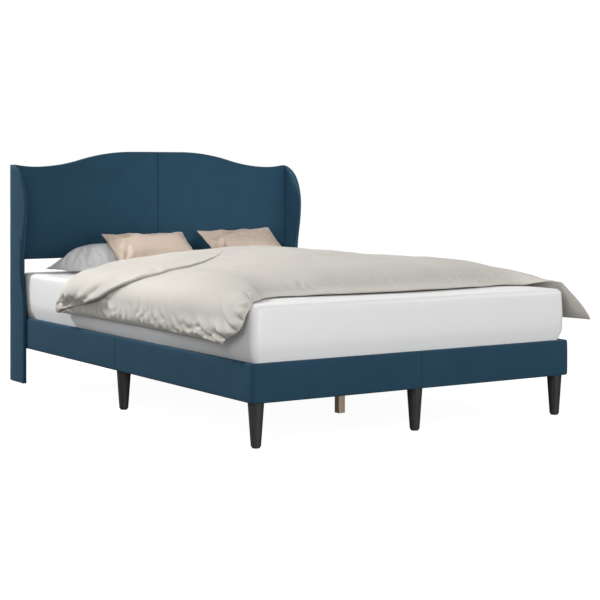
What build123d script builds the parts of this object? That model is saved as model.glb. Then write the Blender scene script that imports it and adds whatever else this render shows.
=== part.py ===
from build123d import *

import os
from math import cos, radians, sin

os.makedirs("parts", exist_ok=True)

# An upholstered double bed: padded rails on tapered legs, a camel-back headboard between two
# full-height wings, a slatted base on a centre beam, and the mattress and bedding on it.
# Millimetres. +X runs across the bed, +Y to the head, +Z up. The origin is on the floor under
# the middle leg of the centre beam, half way from the foot rail's face to the wings' back edges.

# Whole frame
frame_width = 1450.0
frame_length = 2086.0
half_width = frame_width / 2
foot_y = -frame_length / 2
back_y = frame_length / 2

# Padded rails: a pine board, foam and cloth on its face, bare cloth on its other sides
rail_top = 294.0
rail_height = 136.0
rail_board = 18.0
rail_padding = 4.0
cloth = 1.0
cloth_return = 30.0
rail_edge_round = 3.0
corner_round = 22.0
side_seam_y = 5.0
rail_depth = rail_padding + rail_board + cloth
rail_bottom = rail_top - rail_height
rail_middle = (rail_top + rail_bottom) / 2
board_height = rail_height - 2 * cloth
inner_x = half_width - rail_depth
inner_foot_y = foot_y + rail_depth
board_x = inner_x + cloth
board_foot_y = inner_foot_y - cloth

# Headboard halves, which meet in the middle of the bed
crown_height = 1043.0
crown_flat = 125.0
dip_height = 972.0
dip_from_wing = 97.0
bend_share = 0.54
panel_bottom = 550.0
panel_foam = 18.0
panel_board = 15.0
panel_recess = 6.6
panel_round = 10.0
lining_margin = 12.0
panel_back_y = back_y - panel_recess
board_back_y = panel_back_y - cloth
face_y = board_back_y - panel_board - panel_foam

# Wings: thin padded boards that run from the floor to the headboard's corners
wing_top = 981.0
wing_board = 12.0
wing_cloth = 1.5
wing_edge_bevel = 1.0
wing_foot_depth = 156.0
wing_belly_depth = 164.0
wing_belly_height = 791.0
wing_waist_depth = 124.0
wing_waist_height = 527.0
wing_knee_height = 300.0
wing_glide_height = 3.0
wing_glide_radius = 5.0
wing_glide_inset = 28.0
wing_thickness = wing_board + 2 * wing_cloth

# Posts inside the wings, which carry the headboard halves
post_width = 40.0
post_bottom = 20.0

# Flange bolts that hold the wings to the side rails
bolt_radius = 4.0
bolt_head_radius = 6.5
bolt_head_height = 5.5
bolt_flange_radius = 9.0
bolt_flange = 1.6
bolt_bite = 9.0
bolt_clearance = 0.3
bolt_inset = 28.0
bolt_spacing = 42.0
bolt_drop = 6.0

# Slatted base
slat_thickness = 12.0
slat_width = 68.0
slat_count = 14
slat_top = 264.0
slat_side_gap = 1.5
slat_middle_gap = 2.0
slat_end_gap = 15.0
ledge_size = 25.0
ledge_bevel = 2.5
ledge_foot_gap = 45.0
ledge_head_gap = 84.0
webbing_width = 25.0
webbing_thickness = 1.2
webbing_places_share = (0.3, 0.7)
slat_bottom = slat_top - slat_thickness

# Centre beam, its square legs and the bare rail across the head
beam_width = 34.0
beam_height = 52.0
centre_leg_width = 30.0
centre_leg_pitch = 518.0
edge_round = 1.5
edge_bevel = 0.8
head_rail_thickness = 18.0
head_rail_height = 92.0
head_rail_y = face_y - head_rail_thickness
beam_bottom = slat_bottom - beam_height

# Steel fittings
steel = 3.0
hanger_steel = 2.0
bend_radius = 0.5
hanger_flange = 20.0
hanger_depth = 34.0
hanger_hole_radius = 2.5
fit_gap = 0.3
bracket_leg = 40.0
bracket_height = 46.0
bracket_hole_radius = 3.2
bracket_rise = 40.0
plate_length = 120.0
plate_height = 22.0
plate_rise = 42.0
plate_hole_radius = 2.6
plate_hole_share = 0.32
back_plate_length = 140.0
back_plate_height = 40.0
back_plate_drop_shares = (0.28, 0.82)
wing_bracket_leg = 32.0
wing_bracket_height = 60.0

# Tapered legs, screwed into plywood blocks
leg_top_radius = 28.5
leg_foot_radius = 18.0
leg_collar = 6.0
leg_foot_bevel = 1.6
leg_side_inset = 39.0
leg_foot_inset = 44.0
leg_glide_height = 5.0
leg_glide_bevel = 1.2
leg_glide_radius = 14.5
stud_radius = 4.0
stud_length = 50.0
block_height = 36.0
block_reach = 95.0
block_cut = 40.0
middle_block_length = 160.0
middle_block_depth = 62.0

# Mattress, which fills the frame: 1400 by 2000
mattress_side_gap = 2.0
mattress_foot_gap = 2.0
mattress_head_gap = 20.4
mattress_height = 230.0
mattress_corner = 60.0
mattress_shrink_shares = (1.0, 0.35, 0.0, -0.35, 0.0, 0.3, 1.0)
mattress_level_shares = (0.0, 0.05, 0.16, 0.55, 0.87, 0.96, 1.0)
mattress_draw = 18.0
mattress_bottom = slat_top
mattress_top = mattress_bottom + mattress_height
mattress_foot_y = inner_foot_y + mattress_foot_gap
mattress_head_y = face_y - mattress_head_gap
mattress_width = 2 * (inner_x - mattress_side_gap)
mattress_length = mattress_head_y - mattress_foot_y
mattress_y = (mattress_head_y + mattress_foot_y) / 2

# Duvet, draped over the mattress. Its outline is given at stations across the bed, from the hem on
# the left side, over the top, to the hem on the right side.
soft_gap = 0.4
duvet_hang = 140.0
duvet_shoulder = 24.0
duvet_loft = 112.0
duvet_fold_loft = 22.0
duvet_nose_share = 0.4
duvet_fold_setback = 64.0
duvet_foot_setback = 163.0
duvet_head_setback = 292.0
duvet_foot_flare = 150.0
duvet_head_turn = 270.0
duvet_fold_reach = 720.0
duvet_puff_share = 0.036
duvet_flat_share = 1.1
duvet_fold_base_share = 0.1
duvet_foot_y = mattress_foot_y + duvet_foot_setback
duvet_head_y = mattress_head_y - duvet_head_setback
duvet_top_shares = (0.4, 0.72)
duvet_run_shares = (0.0, 0.04, 0.12, 0.3, 0.53, 0.77, 1.0)
duvet_rise_shares = (0.16, 0.58, 0.88, 1.0, 1.0, 1.0, 1.0)
duvet_loft_shares = (0.2, 0.33, 0.38, 0.45, 0.52, 0.81, 0.95, 1.0, 0.95, 0.81, 0.52, 0.45, 0.38, 0.33, 0.2)
duvet_foot_shares = (0.4, 0.8, 1.0, 0.97, 0.9, -0.2, -0.15, 0.0, -0.07, -0.25, 0.43, 0.6, 0.97, 1.17, 1.3)
duvet_head_shares = (0.57, 0.7, 0.87, 0.94, 0.96, 0.93, 0.74, 0.58, 0.15, 0.04, 0.0, 0.0, 0.0, 0.0, 0.0)
duvet_fold_shares = (0.06, 0.4, 0.57, 0.78, 0.84, 0.65, 0.35, 0.08, 0.06, 0.06, 0.06, 0.06, 0.06, 0.06, 0.06)

# Pillow and cushions. The left cushion leans on the pillow, the right one on the headboard.
pillow_length = 500.0
pillow_width = 300.0
pillow_height = 116.0
pillow_x = -345.0
pillow_head_gap = 170.4
pillow_turn = 3.0
cushion_length = 425.0
cushion_width = 300.0
cushion_height = 92.0
cushion_tilt = 34.0
cushion_left_x = -190.0
cushion_lean_reach = 278.2
cushion_right_x = 420.0
cushion_head_gap = 0.4
cushion_seam = 9.0
pillow_y = face_y - pillow_head_gap
cushion_left_y = pillow_y - cushion_lean_reach
pillow_underside_share = 0.12
cushion_underside_share = 0.5
cushion_right_y = face_y - cushion_head_gap - cushion_width * cos(radians(cushion_tilt))
cushion_station_shares = (-1.0, -0.9, -0.66, -0.3, 0.0, 0.3, 0.66, 0.9, 1.0)
cushion_height_shares = (0.0, 0.42, 0.78, 0.96, 1.0, 0.96, 0.78, 0.42, 0.0)
cushion_draw_shares = (0.0, 0.02, 0.045, 0.06, 0.065, 0.06, 0.045, 0.02, 0.0)

sides = {"left": -1, "right": 1}
piece_count = 0


def save(piece, label):
    """Label a finished piece and write it under its own name."""
    global piece_count
    piece.part.label = label
    export_step(piece.part, f"parts/{label}.step")
    piece_count += 1


def box_between(low, high):
    """A block from its lowest corner to its highest one, joined to the open part."""
    size = [b - a for a, b in zip(low, high)]
    centre = [(a + b) / 2 for a, b in zip(low, high)]
    with Locations(tuple(centre)):
        Box(*size)


def side_span(side, near, far):
    """Low and high X of a stretch given by its distances from the bed's centre line."""
    return (min(side * near, side * far), max(side * near, side * far))


# Headboard


def headboard_outline(side):
    """One half of the camel-back panel, seen from the front."""
    dip_x = half_width - dip_from_wing
    bend_x = crown_flat + (dip_x - crown_flat) * bend_share
    bend_z = crown_height - (crown_height - dip_height) * bend_share
    with BuildSketch() as outline:
        with BuildLine():
            crown = Line((0, crown_height), (side * crown_flat, crown_height))
            shoulder = TangentArc(crown @ 1, (side * bend_x, bend_z), tangent=(side, 0))
            dip = TangentArc(shoulder @ 1, (side * dip_x, dip_height), tangent=shoulder % 1)
            rise = TangentArc(dip @ 1, (side * half_width, wing_top), tangent=dip % 1)
            Polyline(rise @ 1, (side * half_width, panel_bottom), (0, panel_bottom), crown @ 0)
        make_face()
    return outline.sketch


def headboard_board(side):
    with BuildPart() as board:
        with BuildSketch(Plane.XZ.offset(-board_back_y)):
            add(headboard_outline(side))
            offset(amount=-cloth, mode=Mode.REPLACE)
        extrude(amount=panel_board)
    return board


def headboard_padding(side):
    """Foam and cloth over the board's face, with the cloth wrapped round its edges."""
    with BuildPart() as padding:
        with BuildSketch(Plane.XZ.offset(-board_back_y)):
            add(headboard_outline(side))
        extrude(amount=panel_board + panel_foam)
        front = padding.faces().sort_by(Axis.Y)[0]
        fillet(front.edges(), panel_round)
        with BuildSketch(Plane.XZ.offset(-board_back_y)):
            add(headboard_outline(side))
            offset(amount=-cloth, mode=Mode.REPLACE)
        extrude(amount=panel_board, mode=Mode.SUBTRACT)
    return padding


def headboard_lining(side):
    """Thin dust cloth stapled over the back of the board and the turned-in cover."""
    with BuildPart() as lining:
        with BuildSketch(Plane.XZ.offset(-panel_back_y)):
            add(headboard_outline(side))
            offset(amount=-lining_margin, mode=Mode.REPLACE)
        extrude(amount=cloth)
    return lining


def headboard_plates():
    """Two flat steel plates across the joint of the halves, on the back."""
    with BuildPart() as plates:
        for share in back_plate_drop_shares:
            z = panel_bottom + (crown_height - panel_bottom) * share
            with BuildSketch(Plane.XZ.offset(-panel_back_y - hanger_steel)):
                with Locations((0, z)):
                    SlotOverall(back_plate_length, back_plate_height)
                with Locations((0, z)):
                    with GridLocations(back_plate_length / 2, 0, 2, 1):
                        Circle(plate_hole_radius, mode=Mode.SUBTRACT)
            extrude(amount=hanger_steel)
    return plates


def headboard_post(side):
    with BuildPart() as post:
        low_x, high_x = side_span(side, half_width - post_width, half_width)
        box_between((low_x, face_y, post_bottom), (high_x, board_back_y, panel_bottom))
    return post


# Wings


def wing_outline(inset=0.0):
    """A wing in side view: round top corner, belly, waist and a straight foot.

    An inset draws the board inside the cover, smaller all round but level with its open foot.
    """
    back = back_y - inset
    belly = (back_y - wing_belly_depth + inset, wing_belly_height)
    waist = (back_y - wing_waist_depth + inset, wing_waist_height)
    knee = (back_y - wing_foot_depth + inset, wing_knee_height)
    upper = ((belly[0] + waist[0]) / 2, (belly[1] + waist[1]) / 2)
    lower = ((waist[0] + knee[0]) / 2, (waist[1] + knee[1]) / 2)
    with BuildSketch() as outline:
        with BuildLine():
            ear = EllipticalCenterArc(
                (back, wing_belly_height),
                back - belly[0],
                wing_top - inset - wing_belly_height,
                start_angle=90,
                arc_size=90,
            )
            first = TangentArc(ear @ 1, upper, tangent=(0, -1))
            second = TangentArc(first @ 1, waist, tangent=first % 1)
            third = TangentArc(second @ 1, lower, tangent=(0, -1))
            fourth = TangentArc(third @ 1, knee, tangent=third % 1)
            foot = (knee[0], wing_glide_height)
            Polyline(fourth @ 1, foot, (back, wing_glide_height), ear @ 0)
        make_face()
    return outline.sketch


def bolt_places():
    """Side-view centres of the two bolts that go through a rail into its wing."""
    y = back_y - wing_foot_depth + bolt_inset
    return [(y, rail_middle - bolt_drop - bolt_spacing / 2 + k * bolt_spacing) for k in range(2)]


def drill_bolt_holes(side, near, far):
    """Drill the wing bolts' holes through the open part, from one X to the other."""
    middle_x = side * (near + far) / 2
    with Locations(*[(middle_x, y, z) for y, z in bolt_places()]):
        Cylinder(bolt_radius + bolt_clearance, far - near, rotation=(0, 90, 0), mode=Mode.SUBTRACT)


def wing_board_piece(side):
    near = half_width + wing_cloth
    start = side * near
    with BuildPart() as board:
        with BuildSketch(Plane.YZ.offset(start)):
            add(wing_outline(wing_cloth))
        extrude(amount=side * wing_board)
        drill_bolt_holes(side, near, near + bolt_bite)
    return board


def wing_cover(side):
    """The padded cloth sleeve round a wing's board, open at its foot."""
    start = side * half_width
    with BuildPart() as cover:
        with BuildSketch(Plane.YZ.offset(start)):
            add(wing_outline())
        extrude(amount=side * wing_thickness)
        outer = cover.faces().filter_by(Axis.X).sort_by(Axis.X)[-1 if side > 0 else 0]
        rim = outer.edges().filter_by(lambda edge: edge.center().Z > wing_knee_height / 2)
        chamfer(rim, wing_edge_bevel)
        with BuildSketch(Plane.YZ.offset(start + side * wing_cloth)):
            add(wing_outline(wing_cloth))
        extrude(amount=side * wing_board, mode=Mode.SUBTRACT)
        drill_bolt_holes(side, half_width, half_width + wing_cloth)
    return cover


def wing_glides():
    """Nail-on glides under the wings."""
    x = half_width + wing_thickness / 2
    front = back_y - wing_foot_depth + wing_glide_inset
    with BuildPart() as glides:
        with BuildSketch(Plane.XY):
            for side in sides.values():
                with Locations((side * x, front), (side * x, back_y - wing_glide_inset)):
                    Circle(wing_glide_radius)
        extrude(amount=wing_glide_height)
    return glides


def wing_brackets():
    """Steel angles that hold the headboard's back to the wings."""
    with BuildPart() as brackets:
        for side in sides.values():
            for share in back_plate_drop_shares:
                z = panel_bottom + (wing_top - panel_bottom) * share
                low_z = z - wing_bracket_height / 2
                with BuildSketch(Plane.XY.offset(low_z)):
                    with BuildLine():
                        FilletPolyline(
                            (side * (half_width - wing_bracket_leg), panel_back_y),
                            (side * half_width, panel_back_y),
                            (side * half_width, back_y - hanger_steel),
                            (side * (half_width - hanger_steel), back_y - hanger_steel),
                            (side * (half_width - hanger_steel), panel_back_y + hanger_steel),
                            (side * (half_width - wing_bracket_leg), panel_back_y + hanger_steel),
                            radius=bend_radius,
                            close=True,
                        )
                    make_face()
                extrude(amount=wing_bracket_height)
    return brackets


def wing_bolts():
    with BuildPart() as bolts:
        for side in sides.values():
            seat = side * board_x
            with BuildSketch(Plane.YZ.offset(seat)):
                with Locations(*bolt_places()):
                    Circle(bolt_radius)
            extrude(amount=side * (half_width + wing_cloth + bolt_bite - board_x))
            with BuildSketch(Plane.YZ.offset(seat)):
                with Locations(*bolt_places()):
                    Circle(bolt_flange_radius)
            extrude(amount=-side * bolt_flange)
            with BuildSketch(Plane.YZ.offset(seat)):
                with Locations(*bolt_places()):
                    RegularPolygon(bolt_head_radius, 6)
            extrude(amount=-side * (bolt_flange + bolt_head_height))
    return bolts


# Padded rails


def side_rail_span(end):
    """Where a half of a side rail starts and stops along the bed."""
    return (inner_foot_y, side_seam_y) if end == "foot" else (side_seam_y, face_y)


def side_rail_board(side, end):
    start, stop = side_rail_span(end)
    low_x, high_x = side_span(side, board_x, half_width - rail_padding)
    with BuildPart() as board:
        low = (low_x, start + cloth, rail_bottom + cloth)
        box_between(low, (high_x, stop - cloth, rail_top - cloth))
        if end == "head":
            drill_bolt_holes(side, board_x, half_width)
    return board


def side_rail_cover(side, end):
    """Foam and cloth on the face, cloth over the edges and turned in behind."""
    start, stop = side_rail_span(end)
    low_x, high_x = side_span(side, inner_x, half_width)
    with BuildPart() as cover:
        box_between((low_x, start, rail_bottom), (high_x, stop, rail_top))
        face = cover.faces().sort_by(Axis.X)[-1 if side > 0 else 0]
        fillet(face.edges(), rail_edge_round)
        low_x, high_x = side_span(side, board_x, half_width - rail_padding)
        with Locations(((low_x + high_x) / 2, (start + stop) / 2, rail_middle)):
            Box(rail_board, stop - start - 2 * cloth, board_height, mode=Mode.SUBTRACT)
        with Locations((side * (inner_x + cloth / 2), (start + stop) / 2, rail_middle)):
            Box(cloth, stop - start, rail_height - 2 * cloth_return, mode=Mode.SUBTRACT)
        if end == "head":
            drill_bolt_holes(side, half_width - rail_padding, half_width)
    return cover


def foot_rail_board(side):
    length = half_width - rail_padding - cloth
    with BuildPart() as board:
        with BuildSketch(Plane.XY.offset(rail_bottom + cloth)) as plan:
            with Locations((side * (cloth + length / 2), board_foot_y - rail_board / 2)):
                Rectangle(length, rail_board)
            outer = plan.vertices().group_by(Axis.Y)[0].sort_by(Axis.X)[-1 if side > 0 else 0]
            fillet(outer, corner_round - rail_padding)
        extrude(amount=board_height)
    return board


def foot_rail_cover(side):
    """The foot rail's padded cover, which turns the bed's rounded corner."""
    with BuildPart() as cover:
        with BuildSketch(Plane.XY.offset(rail_bottom)) as plan:
            with Locations((side * half_width / 2, foot_y + rail_depth / 2)):
                Rectangle(half_width, rail_depth)
            outer = plan.vertices().group_by(Axis.Y)[0].sort_by(Axis.X)[-1 if side > 0 else 0]
            fillet(outer, corner_round)
        extrude(amount=rail_height)
        face = cover.faces().sort_by(Axis.Y)[0]
        seam = face.edges().filter_by(Axis.Z).sort_by(Axis.X)[0 if side > 0 else -1]
        fillet(face.edges().filter_by(Axis.X) + [seam], rail_edge_round)
        length = half_width - rail_padding - cloth
        with BuildSketch(Plane.XY.offset(rail_bottom + cloth)) as core:
            with Locations((side * (cloth + length / 2), board_foot_y - rail_board / 2)):
                Rectangle(length, rail_board)
            outer = core.vertices().group_by(Axis.Y)[0].sort_by(Axis.X)[-1 if side > 0 else 0]
            fillet(outer, corner_round - rail_padding)
        extrude(amount=board_height, mode=Mode.SUBTRACT)
        with Locations((side * board_x / 2, inner_foot_y - cloth / 2, rail_middle)):
            Box(board_x, cloth, rail_height - 2 * cloth_return, mode=Mode.SUBTRACT)
    return cover


# Slatted base


def slat_ledge(side, end):
    start = side_seam_y if end == "head" else inner_foot_y + ledge_foot_gap
    stop = head_rail_y - ledge_head_gap if end == "head" else side_seam_y
    low_x, high_x = side_span(side, board_x - ledge_size, board_x)
    with BuildPart() as ledge:
        box_between((low_x, start, slat_bottom - ledge_size), (high_x, stop, slat_bottom))
        chamfer(ledge.edges().filter_by(Axis.Y).group_by(Axis.Z)[0], ledge_bevel)
    return ledge


def slat_rows():
    """Centres of the slats along the bed, evenly spread between foot and head rail."""
    first = inner_foot_y + slat_end_gap + slat_width / 2
    last = head_rail_y - slat_end_gap - slat_width / 2
    pitch = (last - first) / (slat_count - 1)
    return [first + k * pitch for k in range(slat_count)]


def slats(side):
    near = slat_middle_gap
    far = inner_x - slat_side_gap
    with BuildPart() as row:
        with BuildSketch(Plane.XY.offset(slat_bottom)):
            with Locations(*[(side * (near + far) / 2, y) for y in slat_rows()]):
                RectangleRounded(far - near, slat_width, slat_thickness / 2)
        extrude(amount=slat_thickness)
    return row


def slat_webbing():
    """Cloth tapes stapled under the slats, which keep them apart."""
    rows = slat_rows()
    length = rows[-1] - rows[0] + slat_width
    with BuildPart() as tapes:
        with BuildSketch(Plane.XY.offset(slat_bottom - webbing_thickness)):
            for side in sides.values():
                for share in webbing_places_share:
                    with Locations((side * inner_x * share, (rows[0] + rows[-1]) / 2)):
                        Rectangle(webbing_width, length)
        extrude(amount=webbing_thickness)
    return tapes


# Centre beam and head rail


def centre_beam(end):
    start = inner_foot_y + hanger_steel if end == "foot" else 0
    stop = 0 if end == "foot" else head_rail_y - hanger_steel
    with BuildPart() as beam:
        with BuildSketch(Plane.XZ.offset(-stop)):
            with Locations((0, slat_bottom - beam_height / 2)):
                RectangleRounded(beam_width, beam_height, edge_round)
        extrude(amount=stop - start)
    return beam


def centre_leg(y):
    with BuildPart() as leg:
        with BuildSketch(Plane.XY):
            with Locations((0, y)):
                RectangleRounded(centre_leg_width, centre_leg_width, edge_round)
        extrude(amount=beam_bottom)
        chamfer(leg.faces().sort_by(Axis.Z)[0].edges(), edge_bevel)
    return leg


def head_rail(side):
    low_x, high_x = side_span(side, 0, inner_x)
    with BuildPart() as rail:
        low = (low_x, head_rail_y, slat_bottom - head_rail_height)
        box_between(low, (high_x, face_y, slat_bottom))
        chamfer(rail.edges().filter_by(Axis.X).group_by(Axis.Y)[0], edge_round)
    return rail


# Steel fittings


def beam_hangers():
    """Bent steel shoes at the beam's two ends, flanged against foot and head rail."""
    inner = beam_width / 2 + fit_gap
    outer = inner + hanger_steel
    with BuildPart() as hangers:
        for wall_y, way in ((inner_foot_y, 1), (head_rail_y, -1)):
            near, far = sorted((wall_y, wall_y + way * hanger_depth))
            with BuildSketch(Plane.XZ.offset(-far)):
                with Locations((0, slat_bottom - (beam_height + hanger_steel) / 2)):
                    Rectangle(2 * outer, beam_height + hanger_steel)
                with Locations((0, slat_bottom - beam_height / 2)):
                    Rectangle(2 * inner, beam_height, mode=Mode.SUBTRACT)
            extrude(amount=far - near)
            near, far = sorted((wall_y, wall_y + way * hanger_steel))
            with BuildSketch(Plane.XZ.offset(-far)):
                with Locations((0, slat_bottom - beam_height / 2)):
                    Rectangle(2 * (outer + hanger_flange), beam_height)
                    Rectangle(2 * inner, beam_height - 2 * hanger_steel, mode=Mode.SUBTRACT)
                    with GridLocations(2 * outer + hanger_flange, beam_height / 2, 2, 2):
                        Circle(hanger_hole_radius, mode=Mode.SUBTRACT)
            extrude(amount=far - near)
    return hangers


def corner_brackets():
    """Folded steel angles in the four inner corners of the frame."""
    low_z = rail_bottom + bracket_rise
    with BuildPart() as brackets:
        for side in sides.values():
            for wall_y, way in ((board_foot_y, 1), (head_rail_y, -1)):
                corner_x = side * board_x
                with BuildSketch(Plane.XY.offset(low_z)):
                    with BuildLine():
                        Polyline(
                            (corner_x, wall_y),
                            (corner_x, wall_y + way * bracket_leg),
                            (corner_x - side * steel, wall_y + way * bracket_leg),
                            (corner_x - side * steel, wall_y + way * steel),
                            (corner_x - side * bracket_leg, wall_y + way * steel),
                            (corner_x - side * bracket_leg, wall_y),
                            close=True,
                        )
                    make_face()
                extrude(amount=bracket_height)
                middle = low_z + bracket_height / 2
                with BuildSketch(Plane.YZ.offset(corner_x - side * steel)):
                    with Locations((wall_y + way * (bracket_leg + steel) / 2, middle)):
                        with GridLocations(0, bracket_height / 2, 1, 2):
                            Circle(bracket_hole_radius)
                extrude(amount=side * steel, mode=Mode.SUBTRACT)
                with BuildSketch(Plane.XZ.offset(-wall_y)):
                    with Locations((corner_x - side * (bracket_leg + steel) / 2, middle)):
                        with GridLocations(0, bracket_height / 2, 1, 2):
                            Circle(bracket_hole_radius)
                extrude(amount=-way * steel, mode=Mode.SUBTRACT)
    return brackets


def joint_plates():
    """Flat plates across the joints of the side rails, the head rail and the beam."""
    hole_pitch = plate_length * plate_hole_share
    z = rail_bottom + plate_rise + plate_height / 2
    with BuildPart() as plates:
        for side in sides.values():
            with BuildSketch(Plane.YZ.offset(side * board_x)):
                with Locations((side_seam_y, z)):
                    SlotOverall(plate_length, plate_height)
                    with GridLocations(hole_pitch, 0, 2, 1):
                        Circle(plate_hole_radius, mode=Mode.SUBTRACT)
            extrude(amount=-side * steel)
            with BuildSketch(Plane.YZ.offset(side * beam_width / 2)):
                with Locations((0, slat_bottom - beam_height / 2)):
                    SlotOverall(plate_length, plate_height)
                    with GridLocations(hole_pitch, 0, 2, 1):
                        Circle(plate_hole_radius, mode=Mode.SUBTRACT)
            extrude(amount=side * steel)
        with BuildSketch(Plane.XZ.offset(-face_y - steel)):
            with Locations((0, z)):
                SlotOverall(plate_length, plate_height)
                with GridLocations(hole_pitch, 0, 2, 1):
                    Circle(plate_hole_radius, mode=Mode.SUBTRACT)
        extrude(amount=steel)
    return plates


# Legs


def leg_places():
    """Name and centre of each tapered leg."""
    side_x = half_width - leg_side_inset
    leg_y = foot_y + leg_foot_inset
    return {
        "foot_left": (-side_x, leg_y),
        "foot_middle": (0, leg_y),
        "foot_right": (side_x, leg_y),
        "side_left": (-side_x, side_seam_y),
        "side_right": (side_x, side_seam_y),
    }


def tapered_leg(place):
    top = Vector(place[0], place[1], rail_bottom)
    with BuildPart() as leg:
        with BuildSketch(Plane((place[0], place[1], 0), x_dir=(1, 0, 0), z_dir=(0, -1, 0))) as half:
            with BuildLine():
                Polyline(
                    (0, leg_glide_height),
                    (leg_foot_radius, leg_glide_height),
                    (leg_top_radius, rail_bottom - leg_collar),
                    (leg_top_radius, rail_bottom),
                    (0, rail_bottom),
                    close=True,
                )
            make_face()
            rim = half.vertices().group_by(Axis.Y)[0].sort_by(Axis.X)[-1]
            chamfer(rim, leg_foot_bevel)
        revolve(axis=Axis(top, (0, 0, 1)))
        with Locations(top):
            Hole(stud_radius + bolt_clearance, depth=stud_length / 2)
    return leg


def leg_studs():
    with BuildPart() as studs:
        with BuildSketch(Plane.XY.offset(rail_bottom - stud_length / 2)):
            with Locations(*leg_places().values()):
                Circle(stud_radius)
        extrude(amount=stud_length / 2 + block_height)
    return studs


def leg_glides():
    with BuildPart() as glides:
        with BuildSketch(Plane.XY):
            with Locations(*leg_places().values()):
                Circle(leg_glide_radius)
        extrude(amount=leg_glide_height)
        chamfer(glides.faces().filter_by(Axis.Z).group_by(Axis.Z)[0].edges(), leg_glide_bevel)
    return glides


def leg_blocks():
    """Plywood blocks glued inside the rails, one over each leg."""
    with BuildPart() as blocks:
        with BuildSketch(Plane.XY.offset(rail_bottom)):
            for side in sides.values():
                near_x = side * (inner_x - block_reach)
                near_y = inner_foot_y + block_reach
                with BuildLine():
                    Polyline(
                        (side * inner_x, inner_foot_y),
                        (side * inner_x, near_y),
                        (side * (inner_x - block_cut), near_y),
                        (near_x, inner_foot_y + block_cut),
                        (near_x, inner_foot_y),
                        close=True,
                    )
                make_face()
                with Locations((side * (inner_x - middle_block_depth / 2), side_seam_y)):
                    Rectangle(middle_block_depth, middle_block_length)
            with Locations((0, inner_foot_y + middle_block_depth / 2)):
                Rectangle(middle_block_length, middle_block_depth)
            with Locations(*leg_places().values()):
                Circle(stud_radius + bolt_clearance, mode=Mode.SUBTRACT)
        extrude(amount=block_height)
    return blocks


# Mattress and bedding


def mattress():
    """A sprung mattress with rounded corners, drawn-in edges and a slight belly."""
    with BuildPart() as body:
        for level, shrink in zip(mattress_level_shares, mattress_shrink_shares):
            cut = 2 * mattress_draw * shrink
            with BuildSketch(Plane.XY.offset(mattress_bottom + mattress_height * level)):
                with Locations((0, mattress_y)):
                    RectangleRounded(mattress_width - cut, mattress_length - cut, mattress_corner)
        loft(ruled=True)
    return body


def duvet_stations():
    """Places across the duvet where it is cut, from the left hem over the top to the right hem.

    Each is (x, z, turn of the outward normal from +Z in degrees).
    """
    side_x = mattress_width / 2 + mattress_draw / 2 + soft_gap
    top_z = mattress_top + soft_gap
    drop_z = top_z - duvet_shoulder
    corner_x = side_x - duvet_shoulder
    lean = duvet_shoulder * (1 - cos(radians(45)))
    hem_z = top_z - duvet_hang
    half = [(side_x, hem_z, 90), (side_x, (hem_z + drop_z) / 2, 90), (side_x, drop_z, 90)]
    half += [(side_x - lean, top_z - lean, 45), (corner_x, top_z, 0)]
    half += [(corner_x * share, top_z, 0) for share in reversed(duvet_top_shares)]
    left = [(-x, z, turn) for x, z, turn in half]
    right = [(x, z, -turn) for x, z, turn in reversed(half)]
    return left + [(0, top_z, 0)] + right


def duvet_profile(station, loft_share, foot_share, head_share, fold_share):
    """The duvet cut along the bed at one place.

    It runs along the underside to the head, back over the turned-down end to its free edge, and
    down over the swell of the top, which thins towards the foot.
    """
    x, z, turn = station
    thick = duvet_loft * loft_share
    lift = duvet_fold_loft * (duvet_fold_base_share + fold_share)
    foot = duvet_foot_y - duvet_foot_flare * foot_share
    head = duvet_head_y - duvet_head_turn * head_share
    turned = head - duvet_fold_setback - duvet_fold_reach * fold_share
    crease = head - duvet_nose_share * (thick + lift)
    hem = thick * duvet_rise_shares[0]
    tip = foot + duvet_nose_share * hem
    crown = [
        (tip + (turned - tip) * run, thick * rise)
        for run, rise in zip(duvet_run_shares, duvet_rise_shares)
    ]
    puff = duvet_puff_share * (duvet_flat_share - loft_share)
    across = (cos(radians(turn)), 0, sin(radians(turn)))
    with BuildSketch(Plane(origin=(x, 0, z), x_dir=(0, 1, 0), z_dir=across)) as profile:
        with BuildLine():
            Line((tip, 0), (crease, 0))
            ThreePointArc((crease, 0), (head, (thick + lift) / 2), (crease, thick + lift))
            Line((crease, thick + lift), (turned, thick + lift))
            edge = (turned - duvet_nose_share * lift, thick + lift / 2)
            ThreePointArc((turned, thick + lift), edge, (turned, thick))
            for (near, low), (far, high) in zip(crown, crown[1:]):
                middle = ((near + far) / 2, (low + high) / 2 + puff * (far - near))
                ThreePointArc((near, low), middle, (far, high))
            ThreePointArc((tip, hem), (foot, hem / 2), (tip, 0))
        make_face()
    return profile.sketch


def duvet():
    shares = zip(duvet_loft_shares, duvet_foot_shares, duvet_head_shares, duvet_fold_shares)
    with BuildPart() as cover:
        add([duvet_profile(place, *share) for place, share in zip(duvet_stations(), shares)])
        loft(ruled=True)
    return cover


def pillow_form(base, length, width, height, underside_share):
    """A stuffed cushion with a crown, thin seams and sides drawn in between its corners.

    The seam lies in the base plane, and the underside share is how much of the height is below it.
    """
    with BuildPart() as form:
        shares = zip(cushion_station_shares, cushion_height_shares, cushion_draw_shares)
        for place, rise, draw in shares:
            half = width / 2 * (1 - draw)
            thick = cushion_seam + (height - cushion_seam) * rise
            under = thick * underside_share
            middle = base.origin + base.x_dir * (length / 2 * place)
            with BuildSketch(Plane(origin=middle, x_dir=base.y_dir, z_dir=base.x_dir)):
                with BuildLine():
                    ThreePointArc((-half, 0), (0, thick - under), (half, 0))
                    ThreePointArc((half, 0), (0, -under), (-half, 0))
                make_face()
        loft(ruled=True)
    return form


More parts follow.
